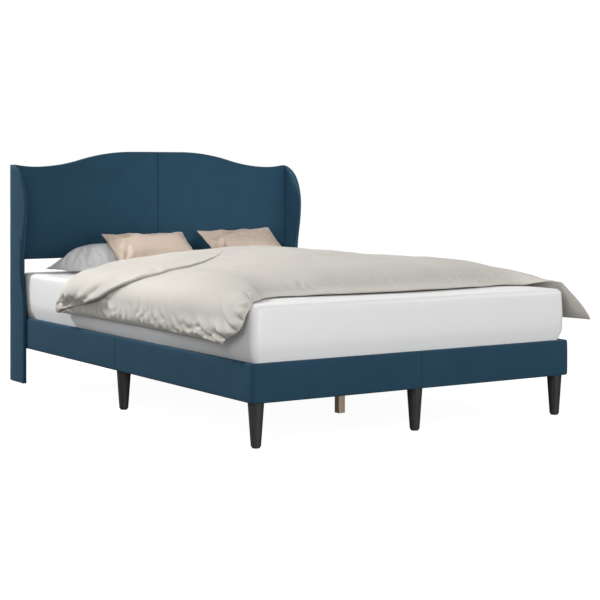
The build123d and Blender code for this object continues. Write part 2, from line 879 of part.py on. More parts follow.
def pillow():
    turn = radians(pillow_turn)
    seam_z = mattress_top + soft_gap + pillow_height * pillow_underside_share
    base = Plane(
        origin=(pillow_x, pillow_y, seam_z),
        x_dir=(cos(turn), sin(turn), 0),
        z_dir=(0, 0, 1),
    )
    return pillow_form(base, pillow_length, pillow_width, pillow_height, pillow_underside_share)


def cushion(x, low_y):
    """A small cushion that stands on its lower edge and leans back towards the headboard."""
    tilt = radians(cushion_tilt)
    reach = cushion_width / 2 * cos(tilt)
    rise = cushion_width / 2 * sin(tilt)
    low_z = mattress_top + soft_gap
    base = Plane(
        origin=(x, low_y + reach, low_z + rise),
        x_dir=(1, 0, 0),
        z_dir=(0, -sin(tilt), cos(tilt)),
    )
    return pillow_form(base, cushion_length, cushion_width, cushion_height, cushion_underside_share)


for name, side in sides.items():
    save(headboard_board(side), f"headboard_board_{name}")
    save(headboard_padding(side), f"headboard_padding_{name}")
    save(headboard_lining(side), f"headboard_lining_{name}")
    save(headboard_post(side), f"headboard_post_{name}")
    save(wing_board_piece(side), f"wing_board_{name}")
    save(wing_cover(side), f"wing_cover_{name}")
    save(foot_rail_board(side), f"foot_rail_board_{name}")
    save(foot_rail_cover(side), f"foot_rail_cover_{name}")
    save(head_rail(side), f"head_rail_{name}")
    save(slats(side), f"slats_{name}")
    for end in ("foot", "head"):
        save(side_rail_board(side, end), f"side_rail_board_{name}_{end}")
        save(side_rail_cover(side, end), f"side_rail_cover_{name}_{end}")
        save(slat_ledge(side, end), f"slat_ledge_{name}_{end}")

save(headboard_plates(), "headboard_plates")
save(wing_glides(), "wing_glides")
save(wing_brackets(), "wing_brackets")
save(wing_bolts(), "wing_bolts")
save(slat_webbing(), "slat_webbing")
save(centre_beam("foot"), "centre_beam_foot")
save(centre_beam("head"), "centre_beam_head")
save(centre_leg(-centre_leg_pitch), "centre_leg_foot")
save(centre_leg(0), "centre_leg_middle")
save(centre_leg(centre_leg_pitch), "centre_leg_head")
save(beam_hangers(), "beam_hangers")
save(corner_brackets(), "corner_brackets")
save(joint_plates(), "joint_plates")
for name, place in leg_places().items():
    save(tapered_leg(place), f"leg_{name}")
save(leg_studs(), "leg_studs")
save(leg_glides(), "leg_glides")
save(leg_blocks(), "leg_blocks")
save(mattress(), "mattress")
save(duvet(), "duvet")
save(pillow(), "pillow_grey")
save(cushion(cushion_left_x, cushion_left_y), "cushion_left")
save(cushion(cushion_right_x, cushion_right_y), "cushion_right")
print("pieces written:", piece_count)
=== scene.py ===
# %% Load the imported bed
import random
from math import atan2, cos, exp, hypot, pi, radians, sin, sqrt

import bmesh
import bpy
from mathutils import Matrix, Vector, noise


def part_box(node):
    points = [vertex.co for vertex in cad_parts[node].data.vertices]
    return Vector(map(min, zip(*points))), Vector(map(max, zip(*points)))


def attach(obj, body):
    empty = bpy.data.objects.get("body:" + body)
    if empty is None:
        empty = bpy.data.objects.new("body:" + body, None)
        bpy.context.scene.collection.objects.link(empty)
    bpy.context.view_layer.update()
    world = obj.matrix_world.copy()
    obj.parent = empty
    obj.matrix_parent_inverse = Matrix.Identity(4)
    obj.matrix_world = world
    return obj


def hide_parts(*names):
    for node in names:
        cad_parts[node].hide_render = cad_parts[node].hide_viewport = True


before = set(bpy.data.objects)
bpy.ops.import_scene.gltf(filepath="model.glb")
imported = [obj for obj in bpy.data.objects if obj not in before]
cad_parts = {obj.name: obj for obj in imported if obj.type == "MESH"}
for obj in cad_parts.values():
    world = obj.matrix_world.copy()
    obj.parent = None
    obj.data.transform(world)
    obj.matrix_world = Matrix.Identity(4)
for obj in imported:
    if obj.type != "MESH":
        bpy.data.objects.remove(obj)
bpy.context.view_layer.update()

# %% [markdown]
# The bed is an upholstered frame with a camel-back headboard between two wings, and its bedding.
# The wood and steel come from the CAD file as they are and only get materials here. Everything
# soft is modelled again below, because cloth has folds, seams and crowns that a CAD solid has not.
# All lengths are metres, X across the bed, Y to the head, Z up, with the floor at zero.

# %% Lengths that the soft pieces share with the wood
# The frame's outside: half its width over the side rails, its foot and its back.
half_width = 0.725
foot_y = -1.043
back_y = 1.043
# A rail: its lower and upper edge, its depth with cloth, its foam, and the back of its board.
rail_low = 0.158
rail_high = 0.294
rail_depth = 0.023
foam = 0.004
board_depth = 0.022
# Where two halves of a side rail meet, and the lower edge of the headboard's panels.
seam_y = 0.005
panel_low = 0.55
# Large faces are cut this fine, so that they can swell, and tight cloth is this uneven.
cloth_step = 0.03
unevenness = 0.0006
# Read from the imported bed.
face_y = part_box("headboard_padding_left")[0][1]
panel_back_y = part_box("headboard_board_left")[1][1]
mattress_low, mattress_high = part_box("mattress")
print("headboard face at", round(face_y, 4), "mattress top at", round(mattress_high[2], 3))

# %% [markdown]
# Every finish is built from a few texture nodes on Object coordinates, so nothing has to be
# unwrapped and the pattern keeps its real size. A small builder keeps each material short: it
# makes a node, sets its sockets and links its inputs.

# %% Node builder
class Finish:
    """A material whose nodes are made one by one and linked as they are made."""

    def __init__(self, name):
        self.material = bpy.data.materials.new(name)
        self.material.use_nodes = True
        self.nodes = self.material.node_tree.nodes
        self.links = self.material.node_tree.links
        self.shader = self.nodes["Principled BSDF"]
        self.place = self.nodes.new("ShaderNodeTexCoord").outputs["Object"]

    def node(self, kind, settings=(), **inputs):
        """Make a node; an input is a socket's name, or an underscore and its number."""
        made = self.nodes.new("ShaderNode" + kind)
        for key, value in dict(settings).items():
            setattr(made, key, value)
        for key, value in inputs.items():
            numbered = key[1:].isdigit()
            socket = made.inputs[int(key[1:]) if numbered else key.replace("_", " ")]
            if isinstance(value, bpy.types.NodeSocket):
                self.links.new(value, socket)
            else:
                socket.default_value = value
        return made.outputs[0]

    def stretch(self, scale):
        return self.node("Mapping", Vector=self.place, Scale=scale)

    def grain(self, vector, scale, detail=3.0, rough=0.5, warp=0.0):
        return self.node(
            "TexNoise", Vector=vector, Scale=scale, Detail=detail, Roughness=rough, Distortion=warp
        )

    def sum(self, *parts):
        total = parts[0]
        for part in parts[1:]:
            total = self.node("Math", settings={"operation": "ADD"}, _0=total, _1=part)
        return total

    def times(self, a, b):
        return self.node("Math", settings={"operation": "MULTIPLY"}, _0=a, _1=b)

    def ramp(self, value, *stops):
        made = self.nodes.new("ShaderNodeValToRGB")
        self.links.new(value, made.inputs[0])
        while len(made.color_ramp.elements) < len(stops):
            made.color_ramp.elements.new(0.5)
        for element, (place, colour) in zip(made.color_ramp.elements, stops):
            element.position = place
            element.color = (*colour, 1)
        return made.outputs[0]

    def threads(self, pitch):
        """An even weave: three crossed waves, of which two show on any face."""
        scale = 2 * pi / pitch
        split = self.nodes.new("ShaderNodeSeparateXYZ")
        self.links.new(self.place, split.inputs[0])
        waves = []
        for axis in split.outputs:
            turned = self.times(axis, scale)
            waves.append(self.node("Math", settings={"operation": "SINE"}, _0=turned))
        return self.sum(*waves)

    def bump(self, height, distance, strength, under=None):
        inputs = {"Height": height, "Distance": distance, "Strength": strength}
        if under is not None:
            inputs["Normal"] = under
        return self.node("Bump", **inputs)

    def close(self, colour, roughness, normal=None, **fixed):
        for socket, value in (("Base Color", colour), ("Roughness", roughness), ("Normal", normal)):
            if isinstance(value, bpy.types.NodeSocket):
                self.links.new(value, self.shader.inputs[socket])
            elif value is not None:
                self.shader.inputs[socket].default_value = value
        for key, value in fixed.items():
            self.shader.inputs[key.replace("_", " ")].default_value = value
        return self.material


def shade(colour, factor):
    return tuple(min(1.0, channel * factor) for channel in colour)


# %% [markdown]
# The upholstery is a dense dark-blue cloth with a short pile. On the real bed it has a fine
# weave, faint cloudy patches where the pile lies differently, and a soft sheen at grazing angles.
# A picture of cloth could be wrapped round each piece, but then every piece would need unwrapping.
# So the colour mixes two cloudy noises, and the bump has the threads over a wider unevenness. The
# knit of the mattress, the cottons and the lining are the same recipe with other numbers.

# %% Cloth finishes
fibre_scale = 420.0
cloud_share = 0.7
slack_scale = 24.0
roughness_play = 0.06


def cloth(name, colour, pitch, patch, spread, thread_height, roughness, sheen, gloss=0.2):
    """pitch is one thread to the next, patch the scale of the clouds, spread their contrast."""
    made = Finish(name)
    clouds = made.grain(made.place, patch, 4.0, 0.6)
    fine = made.grain(made.place, fibre_scale, 2.0, 0.7)
    mixed = made.sum(made.times(clouds, cloud_share), made.times(fine, 1 - cloud_share))
    tone = made.ramp(mixed, (0.3, shade(colour, 1 - spread)), (0.7, shade(colour, 1 + spread)))
    wide = made.bump(made.grain(made.place, slack_scale, 3.0), unevenness, 0.5)
    woven = made.bump(made.threads(pitch), thread_height, 0.6, wide)
    smooth, coarse = (roughness - roughness_play,) * 3, (roughness + roughness_play,) * 3
    rough = made.ramp(fine, (0.2, smooth), (0.8, coarse))
    return made.close(
        tone, rough, woven, Sheen_Weight=sheen, Sheen_Roughness=0.4, Specular_IOR_Level=gloss
    )


upholstery = cloth(
    "upholstery_blue", (0.0190, 0.0570, 0.0935), pitch=0.0016, patch=9.0, spread=0.08,
    thread_height=0.00004, roughness=0.8, sheen=0.02, gloss=0.1,
)
ticking = cloth(
    "mattress_ticking", (0.775, 0.775, 0.775), pitch=0.0022, patch=5.0, spread=0.01,
    thread_height=0.00002, roughness=0.4, sheen=0.0, gloss=0.5,
)
duvet_cloth = cloth(
    "duvet_cotton", (0.545, 0.522, 0.480), pitch=0.0012, patch=6.0, spread=0.03,
    thread_height=0.00004, roughness=0.8, sheen=0.0,
)
pillow_cloth = cloth(
    "pillow_grey_cotton", (0.665, 0.665, 0.67), pitch=0.0012, patch=12.0, spread=0.04,
    thread_height=0.00006, roughness=0.78, sheen=0.15,
)
cushion_cloth = cloth(
    "cushion_tan_cotton", (0.55, 0.447, 0.366), pitch=0.0012, patch=12.0, spread=0.04,
    thread_height=0.00006, roughness=0.72, sheen=0.2,
)
lining_cloth = cloth(
    "dust_lining", (0.012, 0.012, 0.013), pitch=0.0009, patch=40.0, spread=0.2,
    thread_height=0.00005, roughness=0.9, sheen=0.0,
)
tape_cloth = cloth(
    "slat_tape", (0.55, 0.53, 0.47), pitch=0.0018, patch=30.0, spread=0.05,
    thread_height=0.0002, roughness=0.85, sheen=0.1,
)
print("cloth finishes ready")

# %% [markdown]
# Pine and plywood are bare inside the frame. Pine shows long growth rings along the board. They
# could be waves, but those come out too even, so a noise is drawn out along the board and read as
# bands, with fine pores over it. Plywood here gets the same rings, wider. The legs are stained
# nearly black, with the grain just felt.

# %% Wood finishes
pore_scale = 340.0
ring_length = 0.06
pore_length = 0.03
ring_share = 0.75


def wood(name, light, dark, lengthwise, ring=30.0, roughness=0.55, depth=0.0003):
    """A smaller scale along the board draws its rings and pores out that way."""
    made = Finish(name)

    def drawn_out(share):
        return made.stretch(tuple(share if axis == lengthwise else 1.0 for axis in "XYZ"))

    rings = made.grain(drawn_out(ring_length), ring, 5.0, 0.6, 0.8)
    pores = made.grain(drawn_out(pore_length), pore_scale, 2.0)
    mixed = made.sum(made.times(rings, ring_share), made.times(pores, 1 - ring_share))
    tone = made.ramp(mixed, (0.36, dark), (0.5, shade(light, 0.93)), (0.66, light))
    return made.close(tone, roughness, made.bump(pores, depth, 0.5), Specular_IOR_Level=0.35)


pine_along = wood("pine_along_bed", (0.66, 0.47, 0.28), (0.47, 0.29, 0.15), "Y")
pine_across = wood("pine_across_bed", (0.68, 0.49, 0.30), (0.50, 0.31, 0.16), "X")
# The upright pine is painted much lighter than the other pine, to make up for the shade under the bed
# where the centre leg stands.
pine_upright_painted_light = wood("pine_upright_painted_light", (0.84, 0.67, 0.50), (0.68, 0.50, 0.34), "Z")
plywood = wood("plywood", (0.56, 0.39, 0.22), (0.40, 0.25, 0.13), "X", 14.0)
leg_stain = wood(
    "black_stained_leg", (0.040, 0.037, 0.035), (0.022, 0.020, 0.019), "Z",
    ring=60.0, roughness=0.38, depth=0.0002,
)
print("wood finishes ready")

# %% [markdown]
# The brackets and plates are plated with zinc, which dries in small crystals with a cloudy smear
# over them. One colour would do, but under a lamp it looks like plastic, so cells give the
# crystals and a wide noise the smear. The bolts are darker, and the glides are matt black plastic.

# %% Steel and plastic finishes
crystal_scale = 260.0
crystal_share = 0.4
smear_scale = 18.0
speckle_scale = 300.0


def steel(name, colour, roughness):
    made = Finish(name)
    crystals = made.node("TexVoronoi", Vector=made.place, Scale=crystal_scale)
    smear = made.grain(made.place, smear_scale, 4.0)
    mixed = made.sum(made.times(crystals, crystal_share), made.times(smear, 1 - crystal_share))
    tone = made.ramp(mixed, (0.2, shade(colour, 0.85)), (0.8, shade(colour, 1.1)))
    rough = made.ramp(smear, (0.3, (roughness - 0.08,) * 3), (0.7, (roughness + 0.1,) * 3))
    return made.close(tone, rough, made.bump(smear, 0.0001, 0.3), Metallic=1.0)


def black_plastic(name):
    made = Finish(name)
    speckle = made.grain(made.place, speckle_scale)
    tone = made.ramp(speckle, (0.3, (0.018,) * 3), (0.7, (0.028,) * 3))
    return made.close(tone, 0.6, made.bump(speckle, 0.0001, 0.4))


zinc = steel("zinc_plated_steel", (0.60, 0.61, 0.63), 0.36)
bolt_steel = steel("bolt_steel", (0.42, 0.43, 0.45), 0.32)
glide_plastic = black_plastic("glide_plastic")
print("steel and plastic finishes ready")

# %% [markdown]
# The CAD pieces keep their shape and only take a finish, by name. The grain follows each board:
# along the bed on rails, ledges and beam, across it on slats and foot rail, upright on the posts.

# %% Finishes for the wood and steel
finish_of = {
    "side_rail_board": pine_along,
    "slat_ledge": pine_along,
    "centre_beam": pine_along,
    "foot_rail_board": pine_across,
    "head_rail": pine_across,
    "slats": pine_across,
    # The centre leg and posts take the pine that is painted lighter against the shade under the bed.
    "centre_leg": pine_upright_painted_light,
    "headboard_post": pine_upright_painted_light,
    "headboard_board": plywood,
    "wing_board": plywood,
    "leg_blocks": plywood,
    "leg_glides": glide_plastic,
    "wing_glides": glide_plastic,
    "leg_studs": bolt_steel,
    "wing_bolts": bolt_steel,
    "headboard_plates": zinc,
    "wing_brackets": zinc,
    "beam_hangers": zinc,
    "corner_brackets": zinc,
    "joint_plates": zinc,
    "headboard_lining": lining_cloth,
    "slat_webbing": tape_cloth,
    "leg_": leg_stain,
}
dressed = 0
for name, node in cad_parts.items():
    start = next((key for key in finish_of if name.startswith(key)), None)
    if start:
        for slot in node.material_slots:
            slot.material = finish_of[start]
        dressed += 1
print("CAD pieces dressed:", dressed)

# %% [markdown]
# Each new piece starts as a bmesh. One helper turns it into an object, smooths its shading, gives
# it its cloth, and tells the frame which body it rides on and which CAD node it stands for.

# %% From bmesh to piece
weld = 0.00002


def piece_from(bm, name, body, material, stands_for=(), flat_angle=None):
    bmesh.ops.remove_doubles(bm, verts=bm.verts, dist=weld)
    bmesh.ops.recalc_face_normals(bm, faces=bm.faces)
    mesh = bpy.data.meshes.new(name)
    bm.to_mesh(mesh)
    bm.free()
    made = bpy.data.objects.new(name, mesh)
    bpy.context.scene.collection.objects.link(made)
    mesh.materials.append(material)
    for face in mesh.polygons:
        face.use_smooth = True
    if flat_angle:
        mesh.set_sharp_from_angle(angle=radians(flat_angle))
    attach(made, body)
    if stands_for:
        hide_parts(*stands_for)
    print(name, "faces:", len(mesh.polygons))
    return made

# %% [markdown]
# Several pieces share the same few strokes. Outlines are made of arcs that each leave in the
# direction in which the last one came in, as an upholsterer's pattern is drawn. A bevel rounds the
# edges. Flat faces are cut by planes into a grid, so that they can swell, and a soft noise gives
# cloth its slight unevenness.

# %% Arcs, rounds, cuts and ripples
def tangent_arc(start, way, end, steps):
    """Points on the arc that leaves start along way and reaches end."""
    chord = (end[0] - start[0], end[1] - start[1])
    normal = (-way[1], way[0])
    along = chord[0] * normal[0] + chord[1] * normal[1]
    radius = (chord[0] ** 2 + chord[1] ** 2) / (2 * along)
    centre = (start[0] + normal[0] * radius, start[1] + normal[1] * radius)
    first = atan2(start[1] - centre[1], start[0] - centre[0])
    last = atan2(end[1] - centre[1], end[0] - centre[0])
    sweep = (last - first + pi) % (2 * pi) - pi
    points = []
    for k in range(1, steps + 1):
        angle = first + sweep * k / steps
        points.append((centre[0] + abs(radius) * cos(angle), centre[1] + abs(radius) * sin(angle)))
    spin = 1 if sweep > 0 else -1
    return points, (-sin(last) * spin, cos(last) * spin)


def round_edges(bm, edges, width, segments):
    """Bevel the edges to a round."""
    bmesh.ops.bevel(
        bm, geom=edges, offset=width, segments=segments, affect="EDGES", profile=0.5, material=-1
    )


def cut_at(bm, axis, at):
    """Cut the mesh by one plane across the axis."""
    normal = Vector([1.0 if letter == axis else 0.0 for letter in "XYZ"])
    whole = bm.verts[:] + bm.edges[:] + bm.faces[:]
    bmesh.ops.bisect_plane(bm, geom=whole, plane_co=normal * at, plane_no=normal)


def cut_grid(bm, step, axes="XYZ"):
    """Cut the mesh by planes a step apart, so that a large face can bend."""
    for axis in axes:
        k = "XYZ".index(axis)
        low = min(v.co[k] for v in bm.verts)
        high = max(v.co[k] for v in bm.verts)
        count = int((high - low) / step)
        for i in range(1, count + 1):
            cut_at(bm, axis, low + (high - low) * i / (count + 1))


def ripple(point, scale, seed=0.0):
    return noise.noise(Vector(point) * scale + Vector((seed, seed * 0.7, 0)))


print("an arc from the crown of a circle ends going", tangent_arc((0, 1), (1, 0), (1, 0), 4)[1])

# %% [markdown]
# ## Headboard
# Each half is a plywood board under thick foam, with the cloth pulled over it. It could be a box
# with a Bevel modifier, but the camel-back top needs its own curve, so the outline is drawn with
# the arcs of the board, extruded, bevelled on the face side, and cut into a grid that is then
# pushed out a little in the middle, as foam swells between its tight edges.

# %% Headboard halves
crown_z = 1.043
crown_half = 0.125
dip_x = half_width - 0.097
dip_z = 0.972
panel_wing_z = 0.981
bend_share = 0.54
panel_gap = 0.0002
panel_rim = 0.009
joint_strip = 0.025
# For the swell the top counts as level here, a little under the crown.
swell_top_z = 1.02
foam_swell = 0.0035
swell_reach = 0.05
lap_height = 0.0012


def headboard_outline(side):
    """Half of the camel back: level crown, fall, rise to the wing, then square down and back."""
    bend = (crown_half + (dip_x - crown_half) * bend_share, crown_z - (crown_z - dip_z) * bend_share)
    points = [(0.0, crown_z), (crown_half, crown_z)]
    way = (1.0, 0.0)
    for target, count in ((bend, 18), ((dip_x, dip_z), 16), ((half_width, panel_wing_z), 6)):
        arc, way = tangent_arc(points[-1], way, target, count)
        points += arc
    points += [(half_width, panel_low), (0.0, panel_low)]
    return [(side * x, z) for x, z in points]


def panel_swell(side, place):
    """How far the face stands out: foam swells away from its edges, the left half laps the joint."""
    edge = min(half_width - abs(place.x), place.z - panel_low, swell_top_z - place.z)
    swell = foam_swell * (1 - exp(-max(edge, 0) / swell_reach))
    lapped = lap_height if side < 0 and abs(place.x) < joint_strip else 0.0
    return swell + lapped + unevenness * ripple(place, 7.0, 3.0)


def headboard_half(side, name):
    bm = bmesh.new()
    outline = [bm.verts.new((x, panel_back_y + panel_gap, z)) for x, z in headboard_outline(side)]
    back = bm.faces.new(outline)
    front = bmesh.ops.extrude_face_region(bm, geom=[back])["geom"]
    moved = [v for v in front if isinstance(v, bmesh.types.BMVert)]
    bmesh.ops.translate(bm, verts=moved, vec=(0, face_y - panel_back_y - panel_gap, 0))
    face = next(f for f in front if isinstance(f, bmesh.types.BMFace))
    round_edges(bm, list(face.edges), panel_rim, 5)
    cut_grid(bm, cloth_step, "XZ")
    for at in (joint_strip - 0.002, joint_strip + 0.001):
        cut_at(bm, "X", side * at)
    for v in bm.verts:
        if v.co.y < face_y + panel_rim + 0.0015:
            v.co.y -= panel_swell(side, v.co)
    stands_for = ["headboard_padding_" + name]
    piece_from(bm, "headboard_cover_" + name, "frame", upholstery, stands_for, 60)


for name, side in (("left", -1), ("right", 1)):
    headboard_half(side, name)

# %% [markdown]
# ## Wings
# A wing is a thin board in a padded sleeve that stands on the floor and rises past the headboard.
# Its side view is one line: a round ear, a belly, a waist and a straight foot. A filled curve
# would give that outline, but with flat sides. So it is extruded sideways, both rims are bevelled
# wide, because the wadding rounds the thin edge, and a grid of cuts lets the outer face crown.

# %% Wing covers
ear_depth = 0.164
ear_height = 0.190
belly = (back_y - ear_depth, 0.791)
waist = (back_y - 0.130, 0.527)
knee = (back_y - 0.156, 0.300)
sleeve_low = 0.0035
sleeve_thick = 0.015
sleeve_rim = 0.0042
# The outer face crowns most this far in front of the back edge, and not at all this far from there.
sleeve_middle = 0.075
sleeve_half = 0.085
sleeve_crown = 0.0032


def half_way(a, b):
    return ((a[0] + b[0]) / 2, (a[1] + b[1]) / 2)


def wing_outline():
    """The ear is a quarter of an ellipse, and arcs that meet without a kink give the rest."""
    points = []
    for k in range(17):
        angle = pi / 2 * k / 16
        points.append((back_y - ear_depth * sin(angle), belly[1] + ear_height * cos(angle)))
    way = (0.0, -1.0)
    for target in (half_way(belly, waist), waist, half_way(waist, knee), knee):
        arc, way = tangent_arc(points[-1], way, target, 8)
        points += arc
    points += [(knee[0], sleeve_low), (back_y, sleeve_low)]
    return points


def is_wing_rim(edge):
    """An edge of the outline, on either side, but not the ones on the floor."""
    level = abs(edge.verts[0].co.x - edge.verts[1].co.x) < 1e-6
    return level and max(v.co.z for v in edge.verts) > 0.01


def wing_cover(side, name):
    bm = bmesh.new()
    verts = [bm.verts.new((side * half_width, y, z)) for y, z in wing_outline()]
    inner = bm.faces.new(verts)
    outer = bmesh.ops.extrude_face_region(bm, geom=[inner])["geom"]
    moved = [v for v in outer if isinstance(v, bmesh.types.BMVert)]
    bmesh.ops.translate(bm, verts=moved, vec=(side * sleeve_thick, 0, 0))
    rims = [e for e in bm.edges if is_wing_rim(e)]
    round_edges(bm, rims, sleeve_rim, 4)
    cut_grid(bm, cloth_step, "YZ")
    for v in bm.verts:
        if abs(v.co.x) > half_width + sleeve_thick - 0.0001:
            across = (back_y - v.co.y - sleeve_middle) / sleeve_half
            crown = sleeve_crown * max(0.0, 1 - across**2)
            v.co.x += side * (crown + unevenness * ripple(v.co, 9.0, 5.0))
    piece_from(bm, "wing_sleeve_" + name, "frame", upholstery, ["wing_cover_" + name], 60)


for name, side in (("left", -1), ("right", 1)):
    wing_cover(side, name)

# %% [markdown]
# ## Rails
# The rail cloth goes over foam on the face, round the top and bottom edge, and is turned in behind
# the board. In section that is a letter C, so the C is drawn once and extruded along the rail in
# short steps. A swept curve would give the same, but not the joints: near a joint the face steps
# in along a small quarter circle, which is how the cloth of two rail halves meets in a groove.

# %% Rail section
turned_in = 0.030
face_roll = 0.0055
back_roll = 0.002
cloth_gap = 0.001
joint_round = 0.0035
rail_swell = 0.0012
rail_swell_reach = 0.04
rail_unevenness = 0.0005


def arc_points(centre, radius, first, last, count=5):
    angles = [radians(first + (last - first) * k / count) for k in range(count + 1)]
    return [(centre[0] + radius * cos(a), centre[1] + radius * sin(a)) for a in angles]


def rail_section():
    """The C as (depth behind the face, height), all round."""
    low, high, roll = rail_low, rail_high, face_roll
    outer = [(rail_depth, low + turned_in)]
    outer += arc_points((rail_depth - back_roll, low + back_roll), back_roll, 0, -90, 3)
    outer += arc_points((roll, low + roll), roll, -90, -180)
    outer += [(0.0, low + roll + (high - low - 2 * roll) * k / 8) for k in range(1, 8)]
    outer += arc_points((roll, high - roll), roll, 180, 90)
    outer += arc_points((rail_depth - back_roll, high - back_roll), back_roll, 90, 0, 3)
    outer += [(rail_depth, high - turned_in)]
    inner = [(board_depth, high - turned_in), (board_depth, high - cloth_gap)]
    inner += [(foam, high - cloth_gap), (foam, low + cloth_gap)]
    inner += [(board_depth, low + cloth_gap), (board_depth, low + turned_in)]
    return outer + inner


def groove(distance):
    """How far the face steps in at a distance from a joint."""
    if distance >= joint_round:
        return 0.0
    return joint_round - sqrt(joint_round**2 - (joint_round - distance) ** 2)


def stations(start, stop, round_start, round_stop):
    """Places along a cover: an even step, and finer towards an end that rounds into a joint."""
    fine = [0.0, 0.0004, 0.0010, 0.0020, joint_round, 0.008, 0.016]
    places = [start + f for f in (fine if round_start else [0.0])]
    body_stop = stop - (fine[-1] if round_stop else 0.0)
    count = max(2, int((body_stop - places[-1]) / cloth_step))
    first = places[-1]
    places += [first + (body_stop - first) * k / count for k in range(1, count + 1)]
    if round_stop:
        places += [stop - f for f in reversed(fine[:-1])]
    return places


def extrude_on(bm, face):
    """Extrude the end face in place and hand back the new end face."""
    new = bmesh.ops.extrude_face_region(bm, geom=[face])["geom"]
    return next(f for f in new if isinstance(f, bmesh.types.BMFace))


def place_ring(face, section, put, inset, swell):
    """Set an end face's corners to the section, with its face side stepped in or swollen.

    The shift is full on the face and fades to nothing at the depth of the foam.
    """
    for v, (depth, height) in zip(face.verts, section):
        share = max(0.0, 1.0 - depth / foam)
        middle = 1 - abs(2 * (height - rail_low) / (rail_high - rail_low) - 1) ** 3
        v.co = put(depth + inset * share - swell * share * middle, height)


def rail_cover(name, stands_for, places, put_at, joint):
    """Extrude the C from place to place; put_at(place) sets a section's point in the bed."""
    section = rail_section()
    bm = bmesh.new()
    ring = [bm.verts.new(put_at(places[0])(depth, height)) for depth, height in section]
    face = bm.faces.new(ring)
    for k, place in enumerate(places):
        if k:
            face = extrude_on(bm, face)
        away = abs(place - joint)
        swell = rail_swell * (1 - exp(-away / rail_swell_reach))
        swell += rail_unevenness * noise.noise(Vector((place * 6, 0.3, 1.7)))
        place_ring(face, section, put_at(place), groove(away), swell)
    piece_from(bm, name, "frame", upholstery, [stands_for], 60)


print("points round the rail's section:", len(rail_section()))

# %% [markdown]
# The four side covers run straight. The two foot covers start at the middle joint, run to the
# corner, turn it on a radius of 22 mm and end just round it, so one function gives the place and
# outward direction at a distance along that line.

# %% Rail covers
corner_round = 0.022
straight = half_width - corner_round
corner_length = corner_round * pi / 2
inner_foot_y = foot_y + rail_depth
foot_run = straight + corner_length + rail_depth - corner_round


def side_put(side):
    def at(y):
        return lambda depth, height: Vector((side * (half_width - depth), y, height))
    return at


def foot_put(side):
    def at(distance):
        def put(depth, height):
            if distance <= straight:
                return Vector((side * distance, foot_y + depth, height))
            angle = min((distance - straight) / corner_round, pi / 2)
            reach = max(corner_round - depth, -0.001)
            x = straight + reach * sin(angle)
            y = foot_y + corner_round - reach * cos(angle)
            past = max(0.0, distance - straight - corner_length)
            return Vector((side * x, y + past, height))
        return put
    return at


for name, side in (("left", -1), ("right", 1)):
    for end, start, stop in (("foot", inner_foot_y, seam_y), ("head", seam_y, face_y)):
        places = stations(start, stop, end == "head", end == "foot")
        half = name + "_" + end
        rail_cover("rail_cloth_" + half, "side_rail_cover_" + half, places, side_put(side), seam_y)
    places = stations(0.0, straight, True, False)
    places += [straight + corner_length * k / 8 for k in range(1, 9)] + [foot_run]
    rail_cover("rail_cloth_foot_" + name, "foot_rail_cover_" + name, places, foot_put(side), 0.0)

# %% [markdown]
# ## Screws
# The steel fittings are held by wood screws. There are dozens of them, so one screw head is
# modelled with few faces, a round cap whose top is sunk, and added at each hole to one mesh. Each
# screw could be an object, but none of them ever moves alone.

# %% Screw heads
screw_radius = 0.0042
hanger_screw_radius = 0.0036
cap_height = 0.0012
board_x = half_width - rail_depth + 0.001
board_in_y = inner_foot_y - 0.001
head_rail_y = face_y - 0.018
# How far the caps stand off a board: on angles and plates, on wing brackets, on beam hangers.
bracket_off = 0.0033
wing_bracket_off = 0.0043
hanger_off = 0.0023
# Places of the holes: along an angle's arm, on either side of a joint, and out from the middle.
arm_hole = 0.0215
plate_hole = 0.0192
wing_bracket_in = 0.020
beam_plate_x = 0.0203
hanger_x = 0.0294
panel_plate_x = 0.035
# Heights of the holes. On the headboard they are shares of its height at the middle or the wing.
angle_rows = (0.2095, 0.2325)
side_plate_z = 0.211
beam_plate_z = 0.226
hanger_rows = (0.213, 0.239)
panel_shares = (0.28, 0.82)
wing_bracket_hole = 0.018


def screw_head(screws, at, facing, radius=screw_radius):
    """A cap with a sunk top, turned to its wall and added to the shared mesh."""
    cap = bmesh.new()
    bmesh.ops.create_cone(
        cap, cap_ends=True, segments=14, radius1=radius, radius2=radius * 0.72, depth=cap_height
    )
    top = [f for f in cap.faces if f.normal.z > 0.9]
    bmesh.ops.inset_region(cap, faces=top, thickness=radius * 0.3)
    bmesh.ops.translate(cap, verts=list({v for f in top for v in f.verts}), vec=(0, 0, -cap_height / 2))
    turn = Vector((0, 0, 1)).rotation_difference(Vector(facing)).to_matrix()
    bmesh.ops.rotate(cap, verts=cap.verts, cent=(0, 0, 0), matrix=turn)
    bmesh.ops.translate(cap, verts=cap.verts, vec=at)
    one = bpy.data.meshes.new("one_screw")
    cap.to_mesh(one)
    cap.free()
    screws.from_mesh(one)
    bpy.data.meshes.remove(one)


def rail_screws(screws, side):
    """The angles in the corners, and the plates across the joints of rail and beam."""
    for wall, way in ((board_in_y, 1), (head_rail_y, -1)):
        for z in angle_rows:
            on_side = (side * (board_x - bracket_off), wall + way * arm_hole, z)
            on_end = (side * (board_x - arm_hole), wall + way * bracket_off, z)
            screw_head(screws, on_side, (-side, 0, 0))
            screw_head(screws, on_end, (0, way, 0))
    for y in (seam_y - plate_hole, seam_y + plate_hole):
        screw_head(screws, (side * (board_x - bracket_off), y, side_plate_z), (-side, 0, 0))
    for y in (-plate_hole, plate_hole):
        screw_head(screws, (side * beam_plate_x, y, beam_plate_z), (side, 0, 0))


